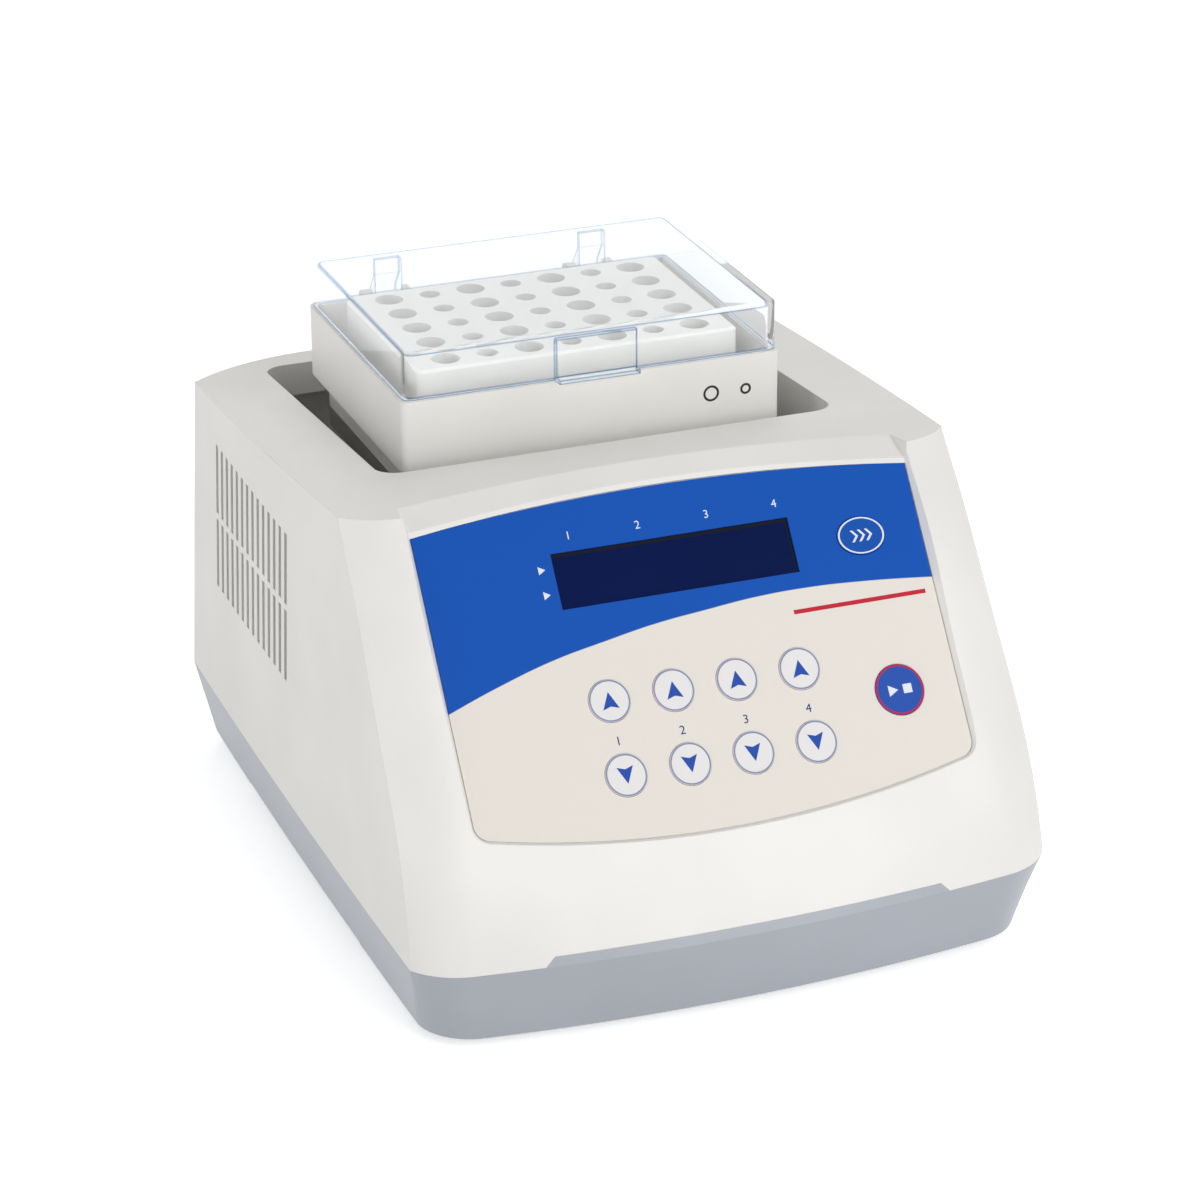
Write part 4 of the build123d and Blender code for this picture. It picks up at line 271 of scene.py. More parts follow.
@dataclass(frozen=True)
class PrintInk:
    """Screen-printed ink on polyester film: flat, opaque and a little less glossy than the film."""

    name: str
    colour: str
    roughness: float = 0.45
    speck_mm: float = 0.3
    specular: float = 0.1

    def build(self) -> bpy.types.Material:
        """Builds the material."""
        material, place = new_material(self.name)
        base = linear(self.colour)
        speck = add_node(
            material,
            "ShaderNodeTexNoise",
            values={"Scale": 1 / (self.speck_mm * MM), "Detail": 2.0},
            links={"Vector": place},
        )
        ramp = add_node(material, "ShaderNodeValToRGB", links={"Fac": speck.outputs["Fac"]})
        return surfaced(
            material,
            {"Roughness": self.roughness, "Specular IOR Level": self.specular},
            {"Base Color": set_ramp(ramp, shaded(base, 0.96), base)},
        )


@dataclass(frozen=True)
class KeypadFilm:
    """Polyester keypad film, satin, printed from behind: a blue field over a beige one, with a swept border."""

    name: str
    field: str
    ground: str
    # the border, as distance down the slope against distance across
    border_mm: tuple[tuple[float, float], ...] = (
        (-95.3, 64.1),
        (-72.9, 56.6),
        (-52.9, 51.1),
        (-33.2, 47.4),
        (-13.3, 44.1),
        (6.4, 42.1),
        (26.3, 40.4),
        (45.9, 40.0),
        (65.4, 40.8),
        (95.3, 43.5),
    )
    half_mm: float = 95.3
    span_mm: float = 100.0
    soft_mm: float = 0.15
    # the film's satin texture is drawn coarse enough to show
    satin_mm: float = 0.35

    def below_border(self, material: bpy.types.Material, place: bpy.types.NodeSocket) -> bpy.types.NodeSocket:
        """Tells the ground from the field.

        Args:
            material: the material whose tree takes the nodes.
            place: its object coordinates.

        Returns:
            0 above the border and 1 below it.
        """
        turned = Matrix.Rotation(-PANEL_SLOPE, 3, "X") @ PANEL_ORIGIN
        flat = add_node(
            material,
            "ShaderNodeMapping",
            values={"Location": -turned, "Rotation": (-PANEL_SLOPE, 0.0, 0.0)},
            links={"Vector": place},
        )
        axes = add_node(material, "ShaderNodeSeparateXYZ", links={"Vector": flat.outputs["Vector"]})
        across = add_node(
            material,
            "ShaderNodeMapRange",
            values={"From Min": -self.half_mm * MM, "From Max": self.half_mm * MM},
            links={"Value": axes.outputs["X"]},
        )
        border = add_node(material, "ShaderNodeFloatCurve", links={"Value": across.outputs["Result"]})
        curve = border.mapping.curves[0]
        points = [((u + self.half_mm) / (2 * self.half_mm), v / self.span_mm) for u, v in self.border_mm]
        curve.points[0].location = points[0]
        curve.points[1].location = points[-1]
        for point in points[1:-1]:
            curve.points.new(*point)
        border.mapping.update()
        down = add_node(
            material,
            "ShaderNodeMath",
            {"operation": "MULTIPLY"},
            {1: -1 / (self.span_mm * MM)},
            {0: axes.outputs["Y"]},
        )
        below = add_node(
            material,
            "ShaderNodeMath",
            {"operation": "SUBTRACT"},
            links={0: down.outputs["Value"], 1: border.outputs["Value"]},
        )
        side = add_node(
            material,
            "ShaderNodeMapRange",
            values={"From Min": -self.soft_mm / self.span_mm, "From Max": self.soft_mm / self.span_mm},
            links={"Value": below.outputs["Value"]},
        )
        return side.outputs["Result"]

    def build(self) -> bpy.types.Material:
        """Builds the material."""
        material, place = new_material(self.name)
        mix = add_node(
            material,
            "ShaderNodeMix",
            {"data_type": "RGBA"},
            {6: linear(self.field), 7: linear(self.ground)},
            {0: self.below_border(material, place)},
        )
        satin = add_node(
            material,
            "ShaderNodeTexNoise",
            values={"Scale": 1 / (self.satin_mm * MM), "Detail": 2.0},
            links={"Vector": place},
        )
        bump = add_node(
            material,
            "ShaderNodeBump",
            values={"Strength": 0.03, "Distance": 0.05 * MM},
            links={"Height": satin.outputs["Fac"]},
        )
        return surfaced(
            material,
            {"Roughness": 0.45, "Specular IOR Level": 0.1},
            {"Base Color": mix.outputs[2], "Normal": bump.outputs["Normal"]},
        )


class Cut(Enum):
    """How a metal surface was left by its last process, as how closely its marks lie along each axis."""

    TURNED = (1.0, 1.0, 12.0)
    MILLED = (1.0, 9.0, 1.0)
    ROLLED = (1.0, 1.0, 6.0)
    BLASTED = (1.0, 1.0, 1.0)


@dataclass(frozen=True)
class Metal:
    """Bare, plated or coated metal whose marks follow the way it was cut and streak its highlights."""

    name: str
    colour: str
    roughness: float
    cut: Cut
    metallic: float = 1.0
    mark_mm: float = 0.4
    depth: float = 0.08

    def build(self) -> bpy.types.Material:
        """Builds the material."""
        material, place = new_material(self.name)
        mapped = add_node(material, "ShaderNodeMapping", values={"Scale": self.cut.value}, links={"Vector": place})
        marks = add_node(
            material,
            "ShaderNodeTexNoise",
            values={"Scale": 1 / (self.mark_mm * MM), "Detail": 3.0, "Roughness": 0.6},
            links={"Vector": mapped.outputs["Vector"]},
        )
        base = linear(self.colour)
        ramp = add_node(material, "ShaderNodeValToRGB", links={"Fac": marks.outputs["Fac"]})
        gloss = add_node(
            material,
            "ShaderNodeMapRange",
            values={"To Min": self.roughness - 0.07, "To Max": self.roughness + 0.07},
            links={"Value": marks.outputs["Fac"]},
        )
        bump = add_node(
            material,
            "ShaderNodeBump",
            values={"Strength": self.depth, "Distance": 0.05 * MM},
            links={"Height": marks.outputs["Fac"]},
        )
        return surfaced(
            material,
            {"Metallic": self.metallic},
            {
                "Base Color": set_ramp(ramp, shaded(base, 0.93), base, (0.3, 0.7)),
                "Roughness": gloss.outputs["Result"],
                "Normal": bump.outputs["Normal"],
            },
        )


@dataclass(frozen=True)
class ClearPlastic:
    """Clear moulded polycarbonate: colourless and faintly hazy through a wall, a little blue along its edges."""

    name: str
    face: str
    edge: str
    haze: float = 0.06
    gloss: float = 0.5
    edge_mm: float = 1.4
    ripple_mm: float = 25.0
    # the walls bend light far less than solid plastic does, as the tub behind them hardly shifts
    wall_ior: float = 1.05
    gloss_ior: float = 1.58

    def build(self) -> bpy.types.Material:
        """Builds the material: the tint comes in where a rounded edge would leave the face."""
        material, place = new_material(self.name)
        ripple = add_node(
            material,
            "ShaderNodeTexNoise",
            values={"Scale": 1 / (self.ripple_mm * MM), "Detail": 1.0},
            links={"Vector": place},
        )
        bump = add_node(
            material,
            "ShaderNodeBump",
            values={"Strength": 0.02, "Distance": 1 * MM},
            links={"Height": ripple.outputs["Fac"]},
        )
        # a moulded edge gathers light through the length of the wall, and so shows the plastic's own tint
        rounded = add_node(material, "ShaderNodeBevel", {"samples": 8}, {"Radius": self.edge_mm * MM})
        flat = add_node(material, "ShaderNodeNewGeometry")
        agree = add_node(
            material,
            "ShaderNodeVectorMath",
            {"operation": "DOT_PRODUCT"},
            links={0: rounded.outputs["Normal"], 1: flat.outputs["Normal"]},
        )
        ramp = add_node(material, "ShaderNodeValToRGB", links={"Fac": agree.outputs["Value"]})
        return surfaced(
            material,
            {
                "Transmission Weight": 1.0 - self.haze,
                "Roughness": 0.02,
                "IOR": self.wall_ior,
                "Coat Weight": self.gloss,
                "Coat Roughness": 0.02,
                "Coat IOR": self.gloss_ior,
            },
            {
                "Base Color": set_ramp(ramp, linear(self.edge), linear(self.face), (0.9, 0.998)),
                "Normal": bump.outputs["Normal"],
            },
        )


@dataclass(frozen=True)
class Rubber:
    """Moulded rubber or sponge: dull, with a fine open texture."""

    name: str
    colour: str
    pore_mm: float = 0.6

    def build(self) -> bpy.types.Material:
        """Builds the material."""
        material, place = new_material(self.name)
        pores = add_node(
            material,
            "ShaderNodeTexNoise",
            values={"Scale": 1 / (self.pore_mm * MM), "Detail": 4.0, "Roughness": 0.7},
            links={"Vector": place},
        )
        base = linear(self.colour)
        ramp = add_node(material, "ShaderNodeValToRGB", links={"Fac": pores.outputs["Fac"]})
        bump = add_node(
            material,
            "ShaderNodeBump",
            values={"Strength": 0.3, "Distance": 0.1 * MM},
            links={"Height": pores.outputs["Fac"]},
        )
        return surfaced(
            material,
            {"Roughness": 0.85},
            {"Base Color": set_ramp(ramp, shaded(base, 0.8), base), "Normal": bump.outputs["Normal"]},
        )


@dataclass(frozen=True)
class CircuitBoard:
    """Glass-epoxy board under green solder mask, with copper tracks that show as lighter lines."""

    name: str
    mask: str = "#1c5a34"
    track: str = "#2b7a4a"
    pitch_mm: float = 3.0

    def build(self) -> bpy.types.Material:
        """Builds the material."""
        material, place = new_material(self.name)
        cells = add_node(
            material,
            "ShaderNodeTexVoronoi",
            {"feature": "DISTANCE_TO_EDGE"},
            {"Scale": 1 / (self.pitch_mm * MM)},
            {"Vector": place},
        )
        edge = add_node(
            material,
            "ShaderNodeMapRange",
            values={"From Min": 0.05, "From Max": 0.09},
            links={"Value": cells.outputs["Distance"]},
        )
        mix = add_node(
            material,
            "ShaderNodeMix",
            {"data_type": "RGBA"},
            {6: linear(self.track), 7: linear(self.mask)},
            {0: edge.outputs["Result"]},
        )
        return surfaced(material, {"Roughness": 0.3}, {"Base Color": mix.outputs[2]})


@dataclass(frozen=True)
class TintedWindow:
    """Acrylic display window, tinted so dark that the display behind it shows only as deep blue."""

    name: str
    colour: str = "#031548"
    cloud_mm: float = 70.0

    def build(self) -> bpy.types.Material:
        """Builds the material."""
        material, place = new_material(self.name)
        depth = add_node(
            material,
            "ShaderNodeTexNoise",
            values={"Scale": 1 / (self.cloud_mm * MM), "Detail": 1.0},
            links={"Vector": place},
        )
        base = linear(self.colour)
        ramp = add_node(material, "ShaderNodeValToRGB", links={"Fac": depth.outputs["Fac"]})
        return surfaced(
            material,
            {"Roughness": 0.12, "Specular IOR Level": 0.05},
            {"Base Color": set_ramp(ramp, shaded(base, 0.8), shaded(base, 1.25))},
        )


# ---------------------------------------------------------------- modelling by hand
def clear_selection() -> None:
    """Leaves nothing selected, in object mode."""
    if bpy.context.object and bpy.context.object.mode != "OBJECT":
        bpy.ops.object.mode_set(mode="OBJECT")
    bpy.ops.object.select_all(action="DESELECT")


def take(piece: bpy.types.Object) -> None:
    """Selects one piece alone and makes it active."""
    clear_selection()
    piece.select_set(True)
    bpy.context.view_layer.objects.active = piece


def settle(piece: bpy.types.Object, name: str) -> bpy.types.Object:
    """Names a piece and bakes its place, turn and size into its mesh.

    Args:
        piece: the piece.
        name: its name.

    Returns:
        The same object.
    """
    take(piece)
    bpy.ops.object.transform_apply(location=True, rotation=True, scale=True)
    piece.name = piece.data.name = name
    return piece


def dress(piece: bpy.types.Object, material: bpy.types.Material) -> None:
    """Gives a piece one material all over."""
    piece.data.materials.clear()
    piece.data.materials.append(material)


def onto_panel(piece: bpy.types.Object, u_mm: float, v_mm: float, lift_mm: float, turn: float = 0.0) -> None:
    """Lays a flat piece, modelled on the XY plane at the origin, on the keypad's plane.

    Args:
        piece: the object to place.
        u_mm: distance across the panel, to the right.
        v_mm: distance down the slope from the panel's origin.
        lift_mm: height of the piece's own origin above the panel's surface.
        turn: turn about the panel's normal, in radians.
    """
    place = PANEL_ORIGIN + PANEL_X * u_mm * MM - PANEL_UP * v_mm * MM + PANEL_OUT * lift_mm * MM
    axes = Matrix((PANEL_X, PANEL_UP, PANEL_OUT)).transposed().to_4x4()
    piece.matrix_world = Matrix.Translation(place) @ axes @ Matrix.Rotation(turn, 4, "Z")


def skin_copy(node: str, name: str, angle: float = 30.0) -> bpy.types.Object:
    """Takes a smooth-shaded copy of a CAD node, to be finished by hand in its place.

    Args:
        node: the CAD node.
        name: the copy's name.
        angle: edges sharper than this, in degrees, stay crisp.

    Returns:
        The copy, which rides on the node's body and stands for it.
    """
    source = frame["nodes"][node]
    take(source)
    body = source["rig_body"]
    bpy.ops.object.duplicate()
    piece = bpy.context.object
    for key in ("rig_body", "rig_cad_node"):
        if key in piece:
            del piece[key]
    piece.parent = None
    piece.name = piece.data.name = name
    bpy.ops.object.mode_set(mode="EDIT")
    bpy.ops.mesh.select_all(action="SELECT")
    bpy.ops.mesh.remove_doubles(threshold=0.005 * MM)
    bpy.ops.object.mode_set(mode="OBJECT")
    bpy.ops.mesh.customdata_custom_splitnormals_clear()
    bpy.ops.object.shade_smooth_by_angle(angle=radians(angle))
    # broad faces keep their own direction, and only the roundings between them turn
    bpy.ops.object.modifier_add(type="WEIGHTED_NORMAL")
    piece.modifiers[-1].keep_sharp = True
    bpy.ops.object.modifier_apply(modifier=piece.modifiers[-1].name)
    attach(piece, body)
    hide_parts(node)
    return piece


def thicken(name: str) -> bpy.types.Object:
    """Raises the active flat outline by the ink's thickness, in edit mode, and leaves it closed and named.

    Args:
        name: the piece's name.

    Returns:
        The piece.
    """
    bpy.ops.mesh.select_all(action="SELECT")
    bpy.ops.mesh.extrude_region_move(TRANSFORM_OT_translate={"value": (0, 0, INK_MM * MM)})
    bpy.ops.mesh.select_all(action="SELECT")
    bpy.ops.mesh.normals_make_consistent(inside=False)
    bpy.ops.object.mode_set(mode="OBJECT")
    return settle(bpy.context.object, name)


def flat_ring(name: str, outer_mm: float, inner_mm: float, stretch: float = 1.0) -> bpy.types.Object:
    """Models a thin printed ring on the XY plane.

    Args:
        name: the piece's name.
        outer_mm: its outer radius.
        inner_mm: its inner radius.
        stretch: how much longer it is along X than along Y.

    Returns:
        The ring.
    """
    clear_selection()
    bpy.ops.mesh.primitive_circle_add(vertices=72, radius=outer_mm * MM, fill_type="NGON")
    bpy.ops.object.mode_set(mode="EDIT")
    bpy.ops.mesh.select_all(action="SELECT")
    bpy.ops.mesh.inset(thickness=(outer_mm - inner_mm) * MM)
    bpy.ops.mesh.delete(type="FACE")
    if stretch != 1.0:
        bpy.ops.mesh.select_all(action="SELECT")
        bpy.ops.transform.resize(value=(stretch, 1.0, 1.0), center_override=(0, 0, 0))
    return thicken(name)


def flat_shape(name: str, points_mm: list[tuple[float, float]]) -> bpy.types.Object:
    """Models a thin flat shape on the XY plane, from a disc whose points are moved to the outline.

    Args:
        name: the piece's name.
        points_mm: the outline, anticlockwise.

    Returns:
        The shape.
    """
    clear_selection()
    bpy.ops.mesh.primitive_circle_add(vertices=len(points_mm), radius=1 * MM, fill_type="NGON")
    for vertex, (x, y) in zip(bpy.context.object.data.vertices, points_mm):
        vertex.co = (x * MM, y * MM, 0.0)
    bpy.ops.object.mode_set(mode="EDIT")
    return thicken(name)


def flat_bar(name: str, wide_mm: float, high_mm: float) -> bpy.types.Object:
    """Models a thin printed rectangle on the XY plane.

    Args:
        name: the piece's name.
        wide_mm: its size along X.
        high_mm: its size along Y.

    Returns:
        The rectangle.
    """
    x, y = wide_mm / 2, high_mm / 2
    return flat_shape(name, [(-x, y), (-x, -y), (x, -y), (x, y)])


def numeral(name: str, digit: str, height_mm: float) -> bpy.types.Object:
    """Models a thin printed numeral, centred on the XY plane.

    Args:
        name: the piece's name.
        digit: what it reads.
        height_mm: the height of its figures, which are 0.7 of the type's size.

    Returns:
        The numeral as a mesh.
    """
    clear_selection()
    bpy.ops.object.text_add()
    text = bpy.context.object
    text.data.body = digit
    text.data.align_x = "CENTER"
    text.data.align_y = "CENTER"
    text.data.size = height_mm * MM / 0.7
    text.data.extrude = INK_MM * MM / 2
    text.data.resolution_u = 3
    bpy.ops.object.convert(target="MESH")
    piece = bpy.context.object
    piece.location.z = INK_MM * MM / 2
    return settle(piece, name)


# ---------------------------------------------------------------- case
@dataclass
class Case:
    """The white housing over its grey tray, with its feet."""

    white: str = "#e9e7e3"
    grey: str = "#a9aeb6"
    grey_roughness: float = 0.36
    crisp_angle: float = 22.0

    def make(self) -> None:
        """Dresses the housing, the tray and the feet."""
        shell = skin_copy("upper_housing", "housing_shell", self.crisp_angle)
        dress(shell, MouldedPlastic("spark_grained_white_abs", self.white).build())
        tray = skin_copy("base_tray", "tray_shell", self.crisp_angle)
        dress(tray, MouldedPlastic("spark_grained_grey_abs", self.grey, self.grey_roughness).build())
        dress(skin_copy("rubber_feet", "feet"), Rubber("moulded_black_rubber", "#1d1d1f").build())
        LOG.info("case dressed")


# ---------------------------------------------------------------- keypad
class Sign(Enum):
    """What is printed on an arrow key, with its turn on the panel."""

    UP = ("up", 0.0)
    DOWN = ("down", pi)


@dataclass
class Keypad:
    """The printed film with its display window, and the print on each key."""

    # arrow keys: four columns of two, with a numeral between each pair and another above the display
    names: tuple[str, ...] = ("step", "temperature", "speed", "time")
    columns_mm: tuple[float, ...] = (-36.5, -12.15, 12.15, 36.5)
    rows_mm: tuple[float, float] = (68.8, 95.9)
    ring_mm: float = 7.6
    ring_line_mm: float = 0.55
    arrow_mm: tuple[tuple[float, float], ...] = ((0.0, 3.2), (-3.1, -3.1), (0.0, -2.1), (3.1, -3.1))
    label_row_mm: float = 83.6
    label_high_mm: float = 3.2
    heading_row_mm: float = 7.6
    heading_high_mm: float = 3.0
    heading_start_mm: float = -38.0
    heading_pitch_mm: float = 26.5
    # start and stop key: a ring, a play sign and a stop sign
    start_mm: tuple[float, float] = (72.5, 82.5)
    start_ring_mm: tuple[float, float] = (9.3, 8.65)
    play_mm: tuple[tuple[float, float], ...] = ((-1.8, 2.1), (-1.8, -2.1), (1.9, 0.0))
    play_shift_mm: float = -2.6
    stop_side_mm: float = 3.4
    stop_shift_mm: float = 3.0
    # pulse key: an oval with three chevrons
    pulse_mm: tuple[float, float] = (71.8, 24.2)
    oval_mm: tuple[float, float] = (6.8, 6.3)
    oval_stretch: float = 9.0 / 6.8
    chevron_mm: tuple[tuple[float, float], ...] = (
        (-1.6, 2.2),
        (-0.6, 2.2),
        (1.2, 0.0),
        (-0.6, -2.2),
        (-1.6, -2.2),
        (0.2, 0.0),
    )
    chevron_shifts_mm: tuple[float, ...] = (-2.4, 0.4, 3.2)
    # display: a pointer beside each row, and a painted shadow along the sunk window's upper edge and its right edge,
    # where the film's cut edge would shade it
    pointer_mm: tuple[tuple[float, float], ...] = ((-1.2, 1.5), (-1.2, -1.5), (1.4, 0.0))
    pointer_column_mm: float = -50.5
    pointer_rows_mm: tuple[float, float] = (18.6, 27.8)
    window_depth_mm: float = 0.795
    upper_edge_mm: tuple[float, float, float, float] = (91.2, 1.5, -0.3, 14.0)
    right_edge_mm: tuple[float, float, float, float] = (1.2, 19.0, 44.7, 24.3)
    # the plain line under the blue field
    line_mm: tuple[float, float, float, float] = (52.0, 1.6, 65.5, 48.2)
    # keys stand this proud of the film, and ink hovers this far over what carries it
    proud_mm: float = 0.35
    hover_mm: float = 0.005
    finishes: dict[str, bpy.types.Material] = field(default_factory=dict)

    def mix_inks(self) -> None:
        """Makes the films and the inks."""
        self.finishes = {
            "film": KeypadFilm("polyester_keypad_film", "#0c53b4", "#e9e3da").build(),
            "arrow": PrintInk("arrow_blue_ink", "#2a51ae").build(),
            "ring": PrintInk("ring_grey_violet_ink", "#8d8fb4").build(),
            "white": PrintInk("white_ink", "#e9edf6").build(),
            "red": PrintInk("red_ink", "#c8283a").build(),
            "navy": PrintInk("navy_ink", "#28397c").build(),
            "key": PrintInk("beige_key_film", "#eceae9", 0.4).build(),
            "blue_key": PrintInk("blue_key_film", "#1053b0").build(),
            "blue_start": PrintInk("blue_start_film", "#2a55b0").build(),
            # near-black ink for the painted shadow inside the sunk window's upper and right edges
            "shade": PrintInk("painted_window_shadow_ink", "#020a22", 0.5).build(),
        }

    def lay(
        self,
        piece: bpy.types.Object,
        u: float,
        v: float,
        body: str,
        ink: str,
        turn: float = 0.0,
        depth: float = 0.0,
    ) -> None:
        """Lays a printed piece on a key, on the film or on the window behind it, and dresses it.

        Args:
            piece: a flat piece at the origin.
            u: distance across the panel in millimetres.
            v: distance down the panel in millimetres.
            body: the body that carries it.
            ink: which ink it is.
            turn: turn about the panel's normal, in radians.
            depth: how far it lies below the film's surface, in millimetres.
        """
        lift = (self.proud_mm if body != "case" else 0.0) + self.hover_mm - depth
        onto_panel(piece, u, v, lift, turn)
        settle(piece, piece.name)
        dress(piece, self.finishes[ink])
        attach(piece, body)

    def print_film(self) -> None:
        """Prints the film: row pointers, a painted shadow along the window's upper and right edges, and the plain
        red line.
        """
        dress(frame["nodes"]["keypad_overlay"], self.finishes["film"])
        for number, row in enumerate(self.pointer_rows_mm, start=1):
            pointer = flat_shape(f"row_{number}_mark", self.pointer_mm)
            self.lay(pointer, self.pointer_column_mm, row, "case", "white")
        # two near-black strips on the window's face are painted shadow, standing for the shade that the film's cut
        # edge casts into the sunk window
        edges = {"window_upper_painted_shadow": self.upper_edge_mm, "window_right_painted_shadow": self.right_edge_mm}
        for name, (wide, high, u, v) in edges.items():
            self.lay(flat_bar(name, wide, high), u, v, "case", "shade", depth=self.window_depth_mm)
        wide, high, u, v = self.line_mm
        self.lay(flat_bar("red_line", wide, high), u, v, "case", "red")

    def print_arrow_keys(self) -> None:
        """Prints ring and arrow on each of the eight keys, and the numerals of each column."""
        for number, (u, word) in enumerate(zip(self.columns_mm, self.names), start=1):
            for sign, v in zip(Sign, self.rows_mm):
                way, turn = sign.value
                body = f"{word}_{way}_key"
                dress(frame["nodes"][body], self.finishes["key"])
                ring = flat_ring(f"{body}_ring", self.ring_mm, self.ring_mm - self.ring_line_mm)
                self.lay(ring, u, v, body, "ring")
                self.lay(flat_shape(f"{body}_arrow", self.arrow_mm), u, v, body, "arrow", turn)
            label = numeral(f"column_{number}_mark", str(number), self.label_high_mm)
            self.lay(label, u, self.label_row_mm, "case", "navy")
            heading = numeral(f"heading_{number}_mark", str(number), self.heading_high_mm)
            along = self.heading_start_mm + self.heading_pitch_mm * (number - 1)
            self.lay(heading, along, self.heading_row_mm, "case", "white")

    def print_round_keys(self) -> None:
        """Prints the start key's red ring and its signs, and the pulse key's oval and chevrons."""
        dress(frame["nodes"]["start_stop_key"], self.finishes["blue_start"])
        dress(frame["nodes"]["pulse_key"], self.finishes["blue_key"])
        u, v = self.start_mm
        self.lay(flat_ring("start_key_ring", *self.start_ring_mm), u, v, "start_stop_key", "red")
        play = flat_shape("start_key_play", self.play_mm)
        self.lay(play, u + self.play_shift_mm, v, "start_stop_key", "white")
        stop = flat_bar("start_key_stop", self.stop_side_mm, self.stop_side_mm)
        self.lay(stop, u + self.stop_shift_mm, v, "start_stop_key", "white")
        u, v = self.pulse_mm
        oval = flat_ring("pulse_key_oval", *self.oval_mm, self.oval_stretch)
        self.lay(oval, u, v, "pulse_key", "white")
        for number, shift in enumerate(self.chevron_shifts_mm, start=1):
            chevron = flat_shape(f"pulse_key_chevron_{number}", self.chevron_mm)
            self.lay(chevron, u + shift, v, "pulse_key", "white")

    def make(self) -> None:
        """Makes the keypad."""
        self.mix_inks()
        self.print_film()
        self.print_arrow_keys()
        self.print_round_keys()
        LOG.info("keypad printed")


# ---------------------------------------------------------------- tub, block and lid
@dataclass
class ShakingTub:
    """The light grey tub with the drilled block."""

    grey: str = "#eeece8"
    # the block's coat colour, lightened past its real beige-grey by a painted haze from the lid's reflection
    coat: str = "#efedea"
    ink: str = "#3a3b40"
    # name, place along X and outer radius of each ring on the front, whose face lies at front_mm
    marks_mm: tuple[tuple[str, float, float], ...] = (("large_tube_mark", 47.0, 3.2), ("small_tube_mark", 61.0, 2.2))
    mark_line_mm: float = 0.9
    mark_height_mm: float = 175.0
    front_mm: float = 0.0

    def print_marks(self) -> None:
        """Prints a large and a small ring on the tub's front, for the two sizes of tube."""
        ink = PrintInk("dark_grey_ink", self.ink).build()
        for name, x, outer in self.marks_mm:
            ring = flat_ring(name, outer, outer - self.mark_line_mm)
            place = Vector((x, self.front_mm, self.mark_height_mm)) * MM
            ring.matrix_world = Matrix.Translation(place) @ Matrix.Rotation(pi / 2, 4, "X")
            settle(ring, name)
            dress(ring, ink)
            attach(ring, "platform")

    def make(self) -> None:
        """Dresses the tub and the block."""
        dress(skin_copy("tub", "tub_shell"), MouldedPlastic("grained_light_grey_abs", self.grey).build())
        # aluminium under a baked coat, which hides the metal and leaves it matt; the coat's colour is drawn paler
        # than its own beige-grey, as painted haze for the reflection that the lid lays over the block
        coat = Metal("coated_aluminium_block_with_painted_haze", self.coat, 0.5, Cut.BLASTED, 0.0, 0.5, 0.05)
        dress(skin_copy("heating_block", "tube_block"), coat.build())
        self.print_marks()
        LOG.info("tub dressed")


@dataclass
class ClearLid:
    """The moulded lid that covers the tubes."""

    face: str = "#fbfdfe"
    edge: str = "#5d84b8"

    def make(self) -> None:
        """Dresses the lid."""
        dress(skin_copy("lid", "lid_shell"), ClearPlastic("clear_polycarbonate", self.face, self.edge).build())
        LOG.info("lid dressed")


